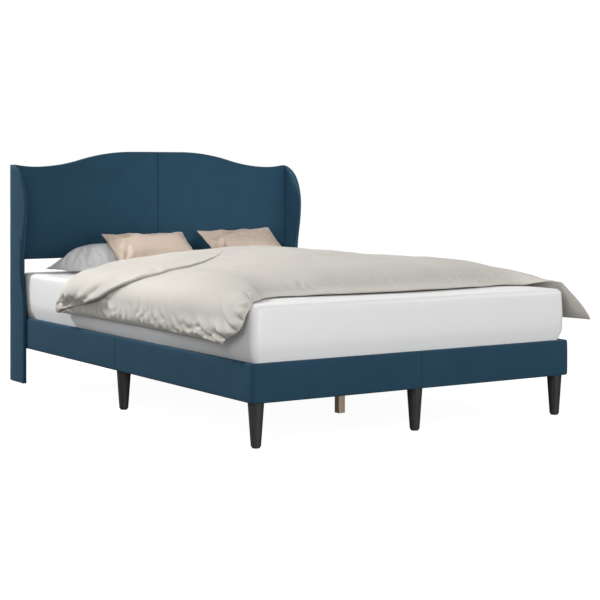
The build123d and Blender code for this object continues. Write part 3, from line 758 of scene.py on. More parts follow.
def headboard_screws(screws, side):
    """The plates across the headboard's joint, and the angles that hold it to the wings."""
    for share in panel_shares:
        z = panel_low + (crown_z - panel_low) * share
        screw_head(screws, (side * panel_plate_x, panel_back_y + bracket_off, z), (0, 1, 0))
    for share in panel_shares:
        for dz in (-wing_bracket_hole, wing_bracket_hole):
            z = panel_low + (panel_wing_z - panel_low) * share + dz
            at = (side * (half_width - wing_bracket_in), panel_back_y + wing_bracket_off, z)
            screw_head(screws, at, (0, 1, 0))


def hanger_screws(screws, side):
    """The shoes that carry the beam's two ends."""
    for wall, way in ((inner_foot_y, 1), (head_rail_y, -1)):
        for z in hanger_rows:
            at = (side * hanger_x, wall + way * hanger_off, z)
            screw_head(screws, at, (0, way, 0), hanger_screw_radius)


all_screws = bmesh.new()
for side in (-1, 1):
    rail_screws(all_screws, side)
    headboard_screws(all_screws, side)
    hanger_screws(all_screws, side)
piece_from(all_screws, "screw_heads", "frame", zinc, flat_angle=30)

# %% [markdown]
# ## Mattress
# A sprung mattress in a tight white knit: upright corners round as a tin, a softer round along the
# top and bottom edge, and sides that belly above the rails. A rounded box from a modifier would
# keep flat sides, so a cube scaled to size gives the block, two bevels give the rounds, and the
# grid cut into it lets the sides swell and the top dip a little.

# %% Mattress
mattress_width = 1.400
end_slack = 0.012
upright_round = 0.026
rim_round = 0.020
mattress_step = 0.035
side_belly = 0.0160
head_belly = 0.0040
foot_belly = 0.0130
top_dip = 0.0012
# The rails hold the lowest part straight: the belly starts here and is full this much higher.
belly_from = 0.032
belly_rise = 0.035
# It is full half way up, less at the top by this share, and fades inwards from the sides and ends.
belly_round = 0.35
inner_x = 0.60
inner_y = 0.90
belly_fade = 0.10


def is_rim(edge, half_height):
    """An edge round the top or the bottom of the block."""
    one, other = (v.co.z for v in edge.verts)
    return abs(abs(one) - half_height) < 1e-5 and abs(one - other) < 1e-5


def mattress_piece():
    low, high = mattress_low, mattress_high
    middle = [(a + b) / 2 for a, b in zip(low, high)]
    size = (mattress_width, high[1] - low[1] - end_slack, high[2] - low[2])
    bm = bmesh.new()
    bmesh.ops.create_cube(bm, size=1.0)
    bmesh.ops.scale(bm, verts=bm.verts, vec=size)
    upright = [e for e in bm.edges if abs(e.verts[0].co.z - e.verts[1].co.z) > 0.1]
    round_edges(bm, upright, upright_round, 6)
    rims = [e for e in bm.edges if is_rim(e, size[2] / 2)]
    round_edges(bm, rims, rim_round, 6)
    cut_grid(bm, mattress_step)
    for v in bm.verts:
        x, y, z = v.co
        over_rail = min(1.0, max(0.0, (z + size[2] / 2 - belly_from) / belly_rise))
        bulge = over_rail * (1 - belly_round * (2 * z / size[2]) ** 2)
        near_side = max(0.0, (abs(x) - inner_x) / belly_fade)
        near_end = max(0.0, (abs(y) - inner_y) / belly_fade)
        v.co.x += (1 if x > 0 else -1) * side_belly * bulge * near_side
        v.co.y += (head_belly if y > 0 else -foot_belly) * bulge * near_end
        v.co.z -= top_dip * (1 + ripple(v.co, 4.0)) * (1 if z > 0 else 0)
    bmesh.ops.translate(bm, verts=bm.verts, vec=middle)
    piece_from(bm, "mattress_body", "mattress", ticking, ["mattress"], 70)


mattress_piece()

# %% [markdown]
# ## Cloth simulation
# Filled covers wrinkle because the cloth is a little too long for its seam. Sculpting could show
# that, but a simulation finds it by itself. So the pillow and the cushions are first modelled near
# their final form, their seam is pinned, their cloth is let grow by a few percent, and air pressure
# pushes it out without gravity for a few frames. The move of every point is capped, then the
# result is written back to the mesh and the modifier is gone. The mattress and the upholstery
# are stretched too tight to wrinkle, and the duvet's folds are drawn, because they have to fall
# where they do on this bed.

# %% Puff a piece with cloth simulation
puff_pressure = 1.5
puff_frames = 16
puff_stiffness = 10.0
longest_move = 0.018
cloth_growth = 0.06


def puff(piece, pinned):
    """pinned holds the points of the seam, which stay where they are."""
    mesh = piece.data
    group = piece.vertex_groups.new(name="pinned")
    group.add(pinned, 1.0, "REPLACE")
    cloth_modifier = piece.modifiers.new("Puff", "CLOTH")
    settings = cloth_modifier.settings
    settings.quality = 5
    settings.mass = 0.3
    settings.tension_stiffness = settings.compression_stiffness = puff_stiffness
    settings.shear_stiffness = puff_stiffness / 3
    settings.bending_stiffness = 0.15
    settings.use_pressure = True
    settings.uniform_pressure_force = puff_pressure
    settings.vertex_group_mass = "pinned"
    settings.shrink_min = -cloth_growth
    settings.effector_weights.gravity = 0
    cloth_modifier.collision_settings.use_collision = False
    start = [v.co.copy() for v in mesh.vertices]
    for number in range(1, puff_frames + 1):
        bpy.context.scene.frame_set(number)
    shaped = piece.evaluated_get(bpy.context.evaluated_depsgraph_get()).to_mesh()
    moves = [after.co - before for after, before in zip(shaped.vertices, start)]
    for vertex, before, move in zip(mesh.vertices, start, moves):
        length = move.length
        vertex.co = before + (move * (longest_move / length) if length > longest_move else move)
    piece.modifiers.remove(cloth_modifier)
    piece.vertex_groups.clear()
    bpy.context.scene.frame_set(1)
    print(piece.name, "largest move:", round(max(m.length for m in moves), 4))


def finer(piece):
    """One subdivision on top, which stays a modifier."""
    made = piece.modifiers.new("Finer", "SUBSURF")
    made.levels = made.render_levels = 1


print("puffing is", "on")

# %% [markdown]
# ## Duvet
# The duvet lies over the mattress, hangs down both sides, stops short of the foot, and its corner
# at the head is turned back. Folding a flat cloth by simulation would take many tries to land in
# this form, so it is made as one closed skin: a flat grid whose one direction runs across the bed,
# and whose other direction runs round the duvet's section: underside, head crease, turned-back
# flap, its free edge, top, foot hem. Tables of places read from the photo drive that section.

# %% Places along the duvet
def curve_at(table, at):
    """A smooth curve through (place, value) pairs."""
    if at <= table[0][0]:
        return table[0][1]
    for k in range(len(table) - 1):
        (x0, y0), (x1, y1) = table[k], table[k + 1]
        if at <= x1:
            before = table[k - 1] if k else (x0 - (x1 - x0), y0)
            after = table[k + 2] if k + 2 < len(table) else (x1 + (x1 - x0), y1)
            slope0 = (y1 - before[1]) / (x1 - before[0])
            slope1 = (after[1] - y0) / (after[0] - x0)
            t, span = (at - x0) / (x1 - x0), x1 - x0
            return (
                y0 * (1 + 2 * t) * (1 - t) ** 2 + slope0 * span * t * (1 - t) ** 2
                + y1 * t * t * (3 - 2 * t) + slope1 * span * t * t * (t - 1)
            )
    return table[-1][1]


# Half the bed that the duvet covers, the round over the mattress's edge, and the drop of the hem.
under_x = 0.7190
under_z = mattress_high[2] + 0.0008
duvet_shoulder = 0.045
duvet_drop = 0.097
duvet_level = under_x - duvet_shoulder
duvet_reach = duvet_level + duvet_shoulder * pi / 2 + duvet_drop

# Each table gives a value at distances from the middle, measured over the duvet, left below zero:
# where its head crease, its foot hem and the flap's free edge lie along the bed, how far the flap
# stands off the top, and how thick the filling is.
head_line = (
    (-0.84, 0.490), (-0.80, 0.486), (-0.77, 0.450), (-0.735, 0.412), (-0.70, 0.388), (-0.66, 0.390),
    (-0.5, 0.43), (-0.3, 0.485), (-0.1, 0.52), (0.03, 0.54), (0.12, 0.59), (0.25, 0.645),
    (0.4, 0.675), (0.84, 0.69),
)
foot_line = (
    (-0.84, -0.905), (-0.817, -0.93), (-0.794, -0.983), (-0.765, -1.008), (-0.70, -1.004),
    (-0.67, -0.955), (-0.61, -0.905), (-0.55, -0.838), (-0.476, -0.807), (-0.367, -0.823),
    (-0.18, -0.844), (0.11, -0.859), (0.405, -0.827), (0.58, -0.80), (0.66, -0.83),
    (0.72, -0.93), (0.78, -0.997), (0.84, -1.080),
)
flap_line = (
    (-0.84, 0.465), (-0.825, 0.43), (-0.812, 0.371), (-0.794, 0.264), (-0.78, 0.185),
    (-0.766, 0.116), (-0.75, 0.057), (-0.735, 0.0), (-0.715, -0.105), (-0.699, -0.182),
    (-0.681, -0.229), (-0.656, -0.245), (-0.574, -0.25), (-0.476, -0.205), (-0.376, -0.125),
    (-0.24, 0.03), (-0.1, 0.22), (0.05, 0.42), (0.2, 0.55), (0.84, 0.62),
)
flap_lift = (
    (-0.84, 0.010), (-0.80, 0.018), (-0.76, 0.021), (-0.70, 0.014), (-0.6, 0.008), (-0.5, 0.006),
    (-0.3, 0.0030), (-0.15, 0.0013), (0.0, 0.0006), (0.1, 0.0004), (0.84, 0.0004),
)
loft_line = (
    (-0.84, 0.022), (-0.80, 0.034), (-0.735, 0.042), (-0.70, 0.050), (-0.66, 0.062), (-0.6, 0.078),
    (-0.45, 0.096), (-0.25, 0.107), (0.0, 0.112), (0.25, 0.106), (0.45, 0.100), (0.6, 0.088),
    (0.66, 0.072), (0.70, 0.056), (0.735, 0.042), (0.80, 0.028), (0.84, 0.016),
)
print("duvet, hem to hem:", round(2 * duvet_reach, 3))

# %% [markdown]
# Two questions shape the section: where the underside lies at a distance from the middle, and how
# thick the filling stands there. A filling is thin at every hem, and near the head the left side,
# where the duvet lies double, is pressed flatter.

# %% Underside and filling
# The filling rounds off over this width at the side hems, and at the foot starts from this share
# and grows over this length. Near the head the flattening fades over the last length.
hem_round = 0.03
foot_thin = 0.10
foot_growth = 0.085
head_fade = 0.15
# Where the duvet lies double: how much flatter it is, left of which place, over which length of
# change. Then the same for the end of the flap.
doubled_press, doubled_s, doubled_change = 0.24, -0.15, 0.10
flap_press, flap_s, flap_change = 0.36, -0.62, 0.03


def duvet_base(s):
    """Point under the duvet at distance s from the middle, and the direction out of the bed."""
    side, away = (1 if s > 0 else -1), abs(s)
    if away <= duvet_level:
        return Vector((s, 0, under_z)), Vector((0, 0, 1))
    turn = min((away - duvet_level) / duvet_shoulder, pi / 2)
    fall = max(0.0, away - duvet_level - duvet_shoulder * pi / 2)
    x = side * (duvet_level + duvet_shoulder * sin(turn))
    z = under_z - duvet_shoulder * (1 - cos(turn)) - fall
    return Vector((x, 0, z)), Vector((side * sin(turn), 0, cos(turn)))


def duvet_loft(s, y):
    """How thick the filling stands at s from the middle and y along the bed."""
    hem = max(0.0, (abs(s) - (duvet_reach - hem_round)) / hem_round)
    rim = sqrt(max(0.02, 1 - hem * hem))
    away = max(0.0, y - curve_at(foot_line, s))
    foot = foot_thin + (1 - foot_thin) * (1 - exp(-away / foot_growth)) ** 0.8
    near_head = exp(-max(0.0, curve_at(head_line, s) - y) / head_fade)
    pressed = doubled_press / (1 + exp((s - doubled_s) / doubled_change))
    pressed += flap_press / (1 + exp((s - flap_s) / flap_change))
    return curve_at(loft_line, s) * rim * foot * (1 - near_head * pressed)


print("filling in the middle of the bed:", round(duvet_loft(0.0, 0.0), 3))

# %% [markdown]
# The section is walked with a fixed number of steps on each stretch, so that every section has as
# many points as the next and the grid fits. The turned-back end rests on the top and presses it
# in, so the top dips under the free edge, which leaves the dark line that a real fold has.

# %% Duvet section
steps = {"under": 12, "crease": 10, "flap": 92, "edge": 8, "top": 194, "foot": 5}
round_count = sum(steps.values())
under_inset = 0.004
foot_inset = 0.006
edge_tuck = 0.010
# The round of the head crease reaches this share of its height along the bed, up to a limit.
nose_share = 0.45
longest_nose = 0.045
# A flap that stands this far off the top shows its whole edge, and presses the top in so far.
full_lift = 0.006
dip_depth = 0.0045
dip_reach = 0.007


def duvet_ring(s):
    """All the points of one section as (y, height over the base).

    Steps are closer together on both sides of the flap's free edge. Where the flap hardly stands
    off the top, real falls to 0, and the edge is drawn out flat so that it doesn't show.
    """
    head, foot, line, lift = (curve_at(t, s) for t in (head_line, foot_line, flap_line, flap_lift))
    line = min(line, head - 0.02)
    full = duvet_loft(s, head) + lift
    nose = min(nose_share * full, longest_nose)
    ring = []
    n, first = steps["under"], foot + under_inset
    ring += [(first + (head - nose - foot - under_inset) * k / n, 0.0) for k in range(n)]
    n = steps["crease"]
    ring += [(head - nose + nose * sin(pi * k / n), full * (1 - cos(pi * k / n)) / 2) for k in range(n)]
    n = steps["flap"]
    for k in range(n):
        y = head - nose + (line - head + nose) * (1 - (1 - k / n) ** 1.3)
        ring.append((y, duvet_loft(s, y) + lift))
    n, tuck = steps["edge"], 0.7 * lift
    floor, real = duvet_loft(s, line), min(1.0, lift / full_lift)
    for k in range(n):
        angle = pi * k / n
        y = line - tuck * sin(angle) * 0.8 - edge_tuck * (1 - real) * k / n
        ring.append((y, floor + lift * (0.05 + 0.95 * (1 + cos(angle)) / 2)))
    n = steps["top"]
    begin = line + tuck * 0.8 - edge_tuck * (1 - real)
    for k in range(n):
        y = begin + (foot + foot_inset - begin) * (k / n) ** 1.15
        dip = (0.30 * lift + dip_depth * real) * exp(-abs(y - line) / dip_reach)
        ring.append((y, duvet_loft(s, y) - dip))
    n, end = steps["foot"], duvet_loft(s, foot + foot_inset)
    for k in range(n):
        ring.append((foot + foot_inset - foot_inset * sin(pi * k / n / 2), end * (1 - k / n)))
    return ring


print("points round the duvet's section:", round_count)

# %% [markdown]
# Where the filled cloth is caught in a seam it gathers: sharp valleys run in from the hem, uneven
# in length and turn, with round puffs between them. A noise gives lumps and not gathers. So the
# folds are drawn one by one. Each is a short curve on the cloth, given by its start, heading,
# length, width and depth, and all that lie near a point are added up. The heading is an angle: 0
# goes to the right, and a quarter turn towards the head.

# %% Folds
folds = {}
fold_cell = 0.1
fold_parts = 8


def add_fold(s, y, heading, length, width, depth, layer, bend=0.0):
    """Keep a fold in the cells it crosses, so that a point only looks at the near ones."""
    way, place, points = heading, Vector((s, y)), []
    for _ in range(fold_parts + 1):
        points.append(place.copy())
        place = place + Vector((cos(way), sin(way))) * (length / fold_parts)
        way += bend / fold_parts
    beside = (-1, 0, 1)
    cells = {
        (layer, round(p.x / fold_cell + i), round(p.y / fold_cell + j))
        for p in points for i in beside for j in beside
    }
    for cell in cells:
        folds.setdefault(cell, []).append((points, width, depth))


def fold_height(s, y, layer):
    """The sum of the near folds: a sharp valley with a low round rise on both sides."""
    total, here = 0.0, Vector((s, y))
    for points, width, depth in folds.get((layer, round(s / fold_cell), round(y / fold_cell)), ()):
        away, k = min(((p - here).length_squared, k) for k, p in enumerate(points))
        if away > (4 * width + 0.015) ** 2:
            continue
        across, share = 1.0, 0.0
        for first in (max(0, k - 1), min(fold_parts - 1, k)):
            side = points[first + 1] - points[first]
            t = min(1.0, max(0.0, side.dot(here - points[first]) / side.length_squared))
            distance = (points[first] + side * t - here).length
            if distance < across:
                across, share = distance, (first + t) / fold_parts
        fade = (1 - share) ** 1.3 * min(1.0, 0.4 + share * 4)
        rise = 0.55 * exp(-((across / width / 2.4) ** 2))
        valley = exp(-((across / width) ** 1.4))
        total += depth * fade * (rise - valley)
    return total


print("each fold is a curve of", fold_parts, "parts")

# %% [markdown]
# A seeded generator scatters the folds, so that they are uneven and still the same on each run.
# They lie closer together and turn lengthwise towards the foot corners, whose tips hang free. A
# few are listed one by one, where the photo shows one that catches the eye.

# %% Folds of the duvet
chance = random.Random(17)
# Each pucker: its place across, its lean from straight up the bed, its length.
near_tip_puckers = (
    (-0.715, 0.2, 0.07), (-0.690, 0.5, 0.05), (-0.672, 0.1, 0.06), (-0.650, 0.6, 0.045),
    (-0.632, 0.3, 0.05),
)
# Each crease: its place across, its length, its depth.
flap_creases = (
    (-0.70, 0.14, 0.016), (-0.655, 0.18, 0.020), (-0.60, 0.13, 0.012), (-0.52, 0.22, 0.018),
    (-0.40, 0.15, 0.008),
)


def branched(s, y, heading, length, width, depth, layer):
    """A fold with a shorter one that leaves it part of the way along, as in most real cloth."""
    add_fold(s, y, heading, length, width, depth, layer, chance.uniform(-0.7, 0.7))
    if chance.random() < 0.6:
        turn, part = chance.choice((-0.8, 0.8)), 0.4 * length
        fork_s, fork_y = s + cos(heading) * part, y + sin(heading) * part
        add_fold(fork_s, fork_y, heading + turn, 0.6 * length, 0.8 * width, 0.6 * depth, layer, -turn)


def inwards(side, heading):
    """The same heading for both sides, counted from the hem towards the middle."""
    return heading if side < 0 else pi - heading


def side_hem_folds(side):
    y = -0.99
    while y < 0.62:
        towards_tip = exp(-(y + 1.0) / 0.30)
        heading = 0.35 + 0.80 * towards_tip + chance.uniform(-0.45, 0.45)
        start = side * (duvet_reach - chance.choice((0.0, 0.0, 0.01, 0.03)))
        length = chance.uniform(0.06, 0.15) + 0.01 * towards_tip
        width, depth = chance.uniform(0.008, 0.014), chance.uniform(0.020, 0.046)
        branched(start, y, inwards(side, heading), length, width, depth, "top")
        y += chance.uniform(0.026, 0.075)


def tip_fan(side):
    """Five folds that fan out from the tip of a foot corner."""
    for k in range(5):
        s = side * (0.825 - 0.035 * k)
        way = inwards(side, 1.0 + 0.1 * k)
        depth = 0.045 if k < 3 else 0.012
        add_fold(s, curve_at(foot_line, s), way, chance.uniform(0.06, 0.15), 0.011, depth, "top")


def near_tip_folds():
    """One long fold and a few puckers at the near foot corner."""
    add_fold(-0.822, -0.925, 1.25, 0.13, 0.012, 0.055, "top", 0.3)
    for s, lean, length in near_tip_puckers:
        add_fold(s, curve_at(foot_line, s) + 0.003, pi / 2 + lean, length, 0.009, 0.034, "top", -0.5)


def foot_hem_folds():
    s = -0.62
    while s < 0.66:
        y = curve_at(foot_line, s) + chance.uniform(0.0, 0.02)
        way, length = pi / 2 + chance.uniform(-0.7, 0.7), chance.uniform(0.02, 0.06)
        add_fold(s, y, way, length, 0.009, chance.uniform(0.012, 0.034), "top")
        s += chance.uniform(0.022, 0.085)


def flap_folds():
    """The crumpled end of the flap, then a few long soft creases further in."""
    for _ in range(20):
        s = chance.uniform(-0.812, -0.735)
        y = curve_at(flap_line, s) + chance.uniform(0.005, 0.15)
        way, length = chance.uniform(-0.6, 1.9), chance.uniform(0.04, 0.09)
        width, depth = chance.uniform(0.009, 0.014), chance.uniform(0.028, 0.052)
        branched(s, y, way, length, width, depth, "flap")
    for s, length, depth in flap_creases:
        way = chance.uniform(1.0, 1.5)
        add_fold(s, curve_at(flap_line, s) + 0.012, way, length, 0.017, depth, "flap", 0.5)


for side in (-1, 1):
    side_hem_folds(side)
    tip_fan(side)
near_tip_folds()
foot_hem_folds()
flap_folds()
print("cells that hold folds:", len(folds))

# %% [markdown]
# The folds are added to two broad swells, which keep the top from looking pressed flat. At the end
# of the flap the doubled cloth bulges and then dives to its rim, which a fold can't show, so that
# has two wide bells of its own.

# %% Gathers
seam_width = 0.008


def bell(at, middle, width):
    """1 at the middle, and falling away softly on both sides."""
    return exp(-(((at - middle) / width) ** 2))


def gathers(s, y, stretch):
    """How far a point stands out or sinks in because of the folds."""
    if stretch == "under":
        return 0.0
    from_foot = max(0.0, y - curve_at(foot_line, s))
    seam = min(1.0, (duvet_reach - abs(s)) / seam_width) * min(1.0, from_foot / seam_width)
    swell = 0.010 * noise.noise(Vector((s * 3.1, y * 2.6, 60.0)))
    swell += 0.005 * noise.noise(Vector((s * 9, y * 7, 12.0)))
    if stretch in ("flap", "edge", "crease") and s < 0.1:
        bulge = 0.020 * bell(s, -0.742, 0.028) - 0.024 * bell(s, -0.795, 0.024)
        return swell + bulge * bell(y, 0.28, 0.15) + fold_height(s, y, "flap") * seam
    return swell + fold_height(s, y, "top") * seam


print("gathers at the left hem:", round(gathers(-0.80, 0.0, "top"), 4))

# %% [markdown]
# Now the grid is laid on the section, column by column and row by row. Its columns are closer
# together at the hems, where the folds are. The hems flare a little. At the foot the right corner
# stands up and out, and the left one sinks a little. Two rounds of smoothing take off what the grid
# can't hold, with five more on the slanted end of the flap, where its cells are sheared. The first
# and last column are open rings, so they are filled.

# %% Duvet skin
duvet_columns = 296
slanted_from, slanted_to = -0.78, -0.60
# How far the hems stand out: along the bed, at the two foot corners, and beside the flap.
hem_spread = 0.008
right_tip_spread = 0.076
left_tip_spread = 0.045
flap_spread = 0.020
right_tip_rise = 0.078
left_tip_sink = 0.006
# The corners' spread and rise are full up to here along the bed, then fade over these lengths.
tips_y = -0.93
left_tip_fade = 0.16
right_tip_fade = 0.22
# Across the bed the rise grows over this width from the mattress's edge, and droops at the hem.
rise_width = 0.085
droop = 0.75
droop_from = 0.755


def duvet_point(s, y, height, stretch):
    """Where a point of the section lies on the bed, with its folds, flare and lifted corner."""
    side = 1 if s > 0 else -1
    base, out = duvet_base(s)
    height += gathers(s, y, stretch) * min(1.0, height / 0.01)
    flare = max(0.0, (abs(s) - duvet_level) / (duvet_reach - duvet_level)) ** 1.5
    corner = exp(-max(0.0, y - tips_y) / (left_tip_fade if side < 0 else right_tip_fade))
    spread = (hem_spread + (right_tip_spread if side > 0 else left_tip_spread) * corner) * flare
    if side < 0:
        spread += flap_spread * bell(y, 0.50, 0.20) * flare
    point = base + out * max(height, 0.0) + Vector((side * spread, y, 0))
    rise = min(1.0, max(0.0, abs(s) - duvet_level) / rise_width)
    rise -= droop * max(0.0, (abs(s) - droop_from) / rise_width) ** 2
    point.z += right_tip_rise * corner * rise if side > 0 else -left_tip_sink * corner * flare
    return point


def duvet_piece():
    bm = bmesh.new()
    bmesh.ops.create_grid(bm, x_segments=duvet_columns, y_segments=round_count, size=0.5)
    stretch_of = [name for name, count in steps.items() for _ in range(count)]
    rings, slanted = {}, []
    for v in bm.verts:
        column = round((v.co.x + 0.5) * duvet_columns)
        row = round((v.co.y + 0.5) * round_count) % round_count
        if column not in rings:
            share = 2 * column / duvet_columns - 1
            s = duvet_reach * (0.42 * share + 0.58 * sin(share * pi / 2))
            rings[column] = (s, duvet_ring(s))
        s, ring = rings[column]
        if stretch_of[row] == "flap" and slanted_from < s < slanted_to:
            slanted.append(v)
        v.co = duvet_point(s, *ring[row], stretch_of[row])
    bmesh.ops.remove_doubles(bm, verts=bm.verts, dist=0.0001)
    for verts in [bm.verts[:]] * 2 + [[v for v in slanted if v.is_valid]] * 5:
        bmesh.ops.smooth_vert(
            bm, verts=verts, factor=0.5, use_axis_x=True, use_axis_y=True, use_axis_z=True
        )
    rim = [e for e in bm.edges if e.is_boundary]
    ends = bmesh.ops.holes_fill(bm, edges=rim, sides=0)["faces"]
    bmesh.ops.triangulate(bm, faces=ends)
    piece_from(bm, "duvet_cover", "duvet", duvet_cloth, ["duvet"])


duvet_piece()

# %% [markdown]
# ## Pillow and cushions
# Each is two layers of cloth sewn round the edge and stuffed. Corners keep their full reach while
# the sides draw in, which gives the ears. The puffing wrinkles the cloth along its pinned seam by
# itself. The few deep creases that run in from corners and sides are drawn first, as folds of the
# piece's upper layer, because a simulation would put them anywhere.

# %% Creases of the stuffed covers
# Each crease: place along and across from the middle, heading, length, width, depth.
cushion_creases = (
    (-0.185, -0.070, 0.95, 0.09, 0.011, 0.040), (-0.180, -0.100, 0.35, 0.10, 0.011, 0.036),
    (-0.198, -0.020, 0.10, 0.07, 0.010, 0.028), (-0.195, 0.125, -0.55, 0.07, 0.010, 0.020),
    (0.195, 0.125, -2.60, 0.07, 0.010, 0.020), (0.190, -0.110, 2.30, 0.08, 0.011, 0.026),
)
pillow_creases = (
    (-0.190, -0.125, 1.20, 0.16, 0.013, 0.046), (-0.220, -0.085, 0.55, 0.15, 0.012, 0.040),
    (-0.235, -0.020, 0.15, 0.13, 0.012, 0.036), (-0.235, 0.060, -0.10, 0.10, 0.012, 0.030),
    (-0.120, -0.140, 1.45, 0.10, 0.012, 0.032), (-0.040, -0.140, 1.30, 0.08, 0.012, 0.026),
)
creases_of = {
    "cushion_tan_left": cushion_creases,
    "cushion_tan_right": cushion_creases,
    "pillow_soft": pillow_creases,
}
for owner, creases in creases_of.items():
    for a, b, heading, length, width, depth in creases:
        add_fold(a, b, heading, length, width, depth, owner, 0.4)
    print(owner, "drawn creases:", len(creases))

# %% [markdown]
# A subdivided cube has no seam to pin. Two flat grids have one all round: a and b run from -1 to 1
# over each, the crown is highest in the middle and zero at the seam, and the sides are pulled in
# most half way between the corners.

# %% Stuffed covers
cover_columns = 56
cover_rows = 42
drawn_in = 0.05
lumpiness = 0.05
corner_crease = 0.021


def corner_creases(a, b):
    """Creases that fan out from the four corners of a stuffed cover."""
    total = 0.0
    for ca in (-1, 1):
        for cb in (-1, 1):
            away = hypot((a - ca) * 1.3, b - cb)
            angle = atan2(abs(b - cb), abs(a - ca) * 1.3)
            total += (abs(sin(angle * 5 + ca + 2 * cb)) - 0.6) * exp(-((away - 0.28) / 0.24) ** 2)
    return total


def stuffed(name, centre, right, up, size, under_share, body, material, stands_for, seed, skew=0.0):
    """right runs along the length, up along the width; under_share of the height lies below."""
    length, width, height = size
    right, up = Vector(right), Vector(up)
    out = right.cross(up)
    bm = bmesh.new()
    pins = bm.verts.layers.float.new("pinned")
    for sign, share in ((1, 1 - under_share), (-1, under_share)):
        layer = bmesh.ops.create_grid(bm, x_segments=cover_columns, y_segments=cover_rows, size=1.0)
        for v in layer["verts"]:
            a, b = v.co.x, v.co.y
            if max(abs(a), abs(b)) > 0.999:
                v[pins] = 1.0
            crown = max(0.0, (1 - abs(a) ** 2.6) * (1 - abs(b) ** 2.4)) ** 0.62
            pull_a = 1 - drawn_in * (1 - b * b) * abs(a) ** 3
            pull_b = 1 - drawn_in * 1.3 * (1 - a * a) * abs(b) ** 3
            lump = 1 + lumpiness * noise.noise(Vector((a * 1.7 + seed, b * 1.7, sign)))
            crease = corner_crease * corner_creases(a, b) * min(1.0, crown * 2)
            slide = skew * ((1 - a) / 2) ** 3 * ((1 - b) / 2) ** 2
            place = right * (a * pull_a * length / 2 + slide) + up * (b * pull_b * width / 2)
            v.co = place + out * sign * (height * share * crown * lump + crease * (share + 0.2))
            if sign > 0:
                drawn_fold = fold_height(a * length / 2, b * width / 2, name)
                v.co += out * drawn_fold * min(1.0, crown * 2.5)
    bmesh.ops.remove_doubles(bm, verts=bm.verts, dist=0.0002)
    bmesh.ops.translate(bm, verts=bm.verts, vec=centre)
    piece = piece_from(bm, name, body, material, [stands_for])
    marks = piece.data.attributes["pinned"].data
    puff(piece, [i for i, mark in enumerate(marks) if mark.value > 0.5])
    finer(piece)


print("faces in one layer of a cover:", cover_columns * cover_rows)

# %% [markdown]
# The two tan cushions lean back on their long edge, the right one a little askew. The grey pillow
# lies almost flat behind them, so only a tenth of its height is below its seam.

# %% Tan cushions and grey pillow
cushion_size = (0.425, 0.300, 0.074)
cushion_tilt = radians(34)
cushion_roll = {"left": 0.0, "right": 0.035}
leaning = Vector((0, cos(cushion_tilt), sin(cushion_tilt)))
facing = Vector((0, -sin(cushion_tilt), cos(cushion_tilt)))
for name, x, low_y, seed in (("left", -0.190, 0.5538, 0.0), ("right", 0.420, 0.7533, 5.0)):
    turned = Matrix.Rotation(cushion_roll[name], 3, facing)
    half = cushion_size[1] / 2
    centre = (x, low_y + half * cos(cushion_tilt), mattress_high[2] + 0.006 + half * sin(cushion_tilt))
    stuffed(
        "cushion_tan_" + name, centre, turned @ Vector((1, 0, 0)), turned @ leaning,
        cushion_size, 0.5, "cushion_" + name, cushion_cloth, "cushion_" + name, seed,
    )

pillow_turn = radians(3)
pillow_centre = (-0.345, 0.832, mattress_high[2] + 0.014)
pillow_right = (cos(pillow_turn), sin(pillow_turn), 0)
pillow_up = (-sin(pillow_turn), cos(pillow_turn), 0)
stuffed(
    "pillow_soft", pillow_centre, pillow_right, pillow_up, (0.50, 0.30, 0.105), 0.10,
    "pillow", pillow_cloth, "pillow_grey", 9.0, skew=0.095,
)

# %% [markdown]
# ## Stage, light and camera
# The bed stands on a white ground with a faint shadow. A white floor would throw too much light
# up on the rails, so the camera sees the floor mostly plain white, and the light finds it a dull
# grey. The world works the same way: the camera and shiny surfaces see it white, and as a light
# it is weaker.

# %% Floor
floor_bm = bmesh.new()
bmesh.ops.create_grid(floor_bm, x_segments=1, y_segments=1, size=30.0)
floor_mesh = bpy.data.meshes.new("floor")
floor_bm.to_mesh(floor_mesh)
floor_bm.free()
floor = bpy.data.objects.new("floor", floor_mesh)
bpy.context.scene.collection.objects.link(floor)
floor_finish = Finish("pale_floor")
floor_mesh.materials.append(floor_finish.close((0.86, 0.86, 0.86, 1), 0.9, Specular_IOR_Level=0.1))
white = floor_finish.node("Emission", Color=(1, 1, 1, 1), Strength=1.2)
dull = floor_finish.node("BsdfDiffuse", Color=(0.2, 0.2, 0.2, 1))
path = floor_finish.nodes.new("ShaderNodeLightPath")
seen = floor_finish.node("MixShader", _0=0.8, _1=floor_finish.shader.outputs[0], _2=white)
both = floor_finish.node("MixShader", _0=path.outputs["Is Camera Ray"], _1=dull, _2=seen)
floor_finish.links.new(both, floor_finish.nodes["Material Output"].inputs["Surface"])
print("floor ready")

# %% World
world = bpy.data.worlds.new("studio")
bpy.context.scene.world = world
world.use_nodes = True
nodes, links = world.node_tree.nodes, world.node_tree.links
sky = nodes["Background"]
sky.inputs["Color"].default_value = (1, 1, 1, 1)
sky.inputs["Strength"].default_value = 0.38
camera_sky = nodes.new("ShaderNodeBackground")
camera_sky.inputs["Color"].default_value = (1, 1, 1, 1)
camera_sky.inputs["Strength"].default_value = 1.0
world_path = nodes.new("ShaderNodeLightPath")
any_ray = nodes.new("ShaderNodeMath")
any_ray.operation = "ADD"
any_ray.use_clamp = True
links.new(world_path.outputs["Is Camera Ray"], any_ray.inputs[0])
links.new(world_path.outputs["Is Glossy Ray"], any_ray.inputs[1])
world_mix = nodes.new("ShaderNodeMixShader")
links.new(any_ray.outputs[0], world_mix.inputs[0])
links.new(sky.outputs[0], world_mix.inputs[1])
links.new(camera_sky.outputs[0], world_mix.inputs[2])
links.new(world_mix.outputs[0], nodes["World Output"].inputs["Surface"])
print("world ready")

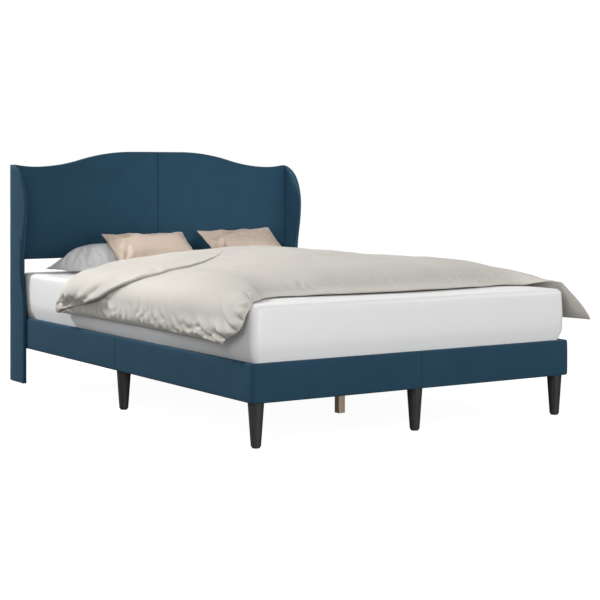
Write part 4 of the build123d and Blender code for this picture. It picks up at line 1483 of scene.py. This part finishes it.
# %% [markdown]
# Five area lamps: a large soft one from the front left, a long low one in front, a weaker soft one
# from the right, a small one whose narrow beam fills the headboard's right end, and the key,
# high behind the head on the left, which draws the shadow under the flap's edge. Fewer lamps
# would be simpler, but the photo has soft fronts and a crisp shadow at once.

# %% Lamps
def lamp(name, at, aim, size, power, tall=None, spread=180):
    data = bpy.data.lights.new(name, "AREA")
    data.shape = "RECTANGLE"
    data.size = size
    data.size_y = tall or size
    data.energy = power
    data.spread = radians(spread)
    made = bpy.data.objects.new(name, data)
    made.location = at
    made.rotation_euler = (Vector(aim) - Vector(at)).to_track_quat("-Z", "Y").to_euler()
    bpy.context.scene.collection.objects.link(made)
    print(name, "watts:", power)


lamp("front_left", (-4.6, -4.4, 2.8), (0, 0.4, 0.5), 2.2, 90)
lamp("front_low", (0.2, -5.8, 0.55), (0, 0, 0.5), 3.0, 93, tall=0.9)
lamp("right_soft", (3.6, -3.0, 2.8), (0, 0, 0.4), 2.4, 45)
lamp("right_head_fill", (-3.2, -2.6, 1.6), (0.60, 0.95, 0.72), 0.5, 2.0, spread=20)
lamp("head_left_high", (-4.5, 5.7, 6.2), (-0.2, 0, 0.3), 1.1, 830)

# %% [markdown]
# The camera was fitted to the straight edges of the frame in the photo. It stands level, so upright
# edges stay upright, and its lens is shifted instead of tilted.

# %% Camera
photo_pixels = 600
focal_pixels = 1535.346
ahead_pixel = (261.737, 169.843)

camera_data = bpy.data.cameras.new("photo_camera")
camera_data.sensor_width = 36.0
camera_data.lens = focal_pixels / photo_pixels * camera_data.sensor_width
camera_data.shift_x = (photo_pixels / 2 - ahead_pixel[0]) / photo_pixels
camera_data.shift_y = -(photo_pixels / 2 - ahead_pixel[1]) / photo_pixels
camera = bpy.data.objects.new("photo_camera", camera_data)
camera.location = (-3.46184, -5.49364, 0.95720)
camera.rotation_euler = (radians(90), 0, radians(-31.9176))
bpy.context.scene.collection.objects.link(camera)
bpy.context.scene.camera = camera
bpy.context.scene.view_settings.view_transform = "Standard"
print("lens:", round(camera_data.lens, 2), "mm")
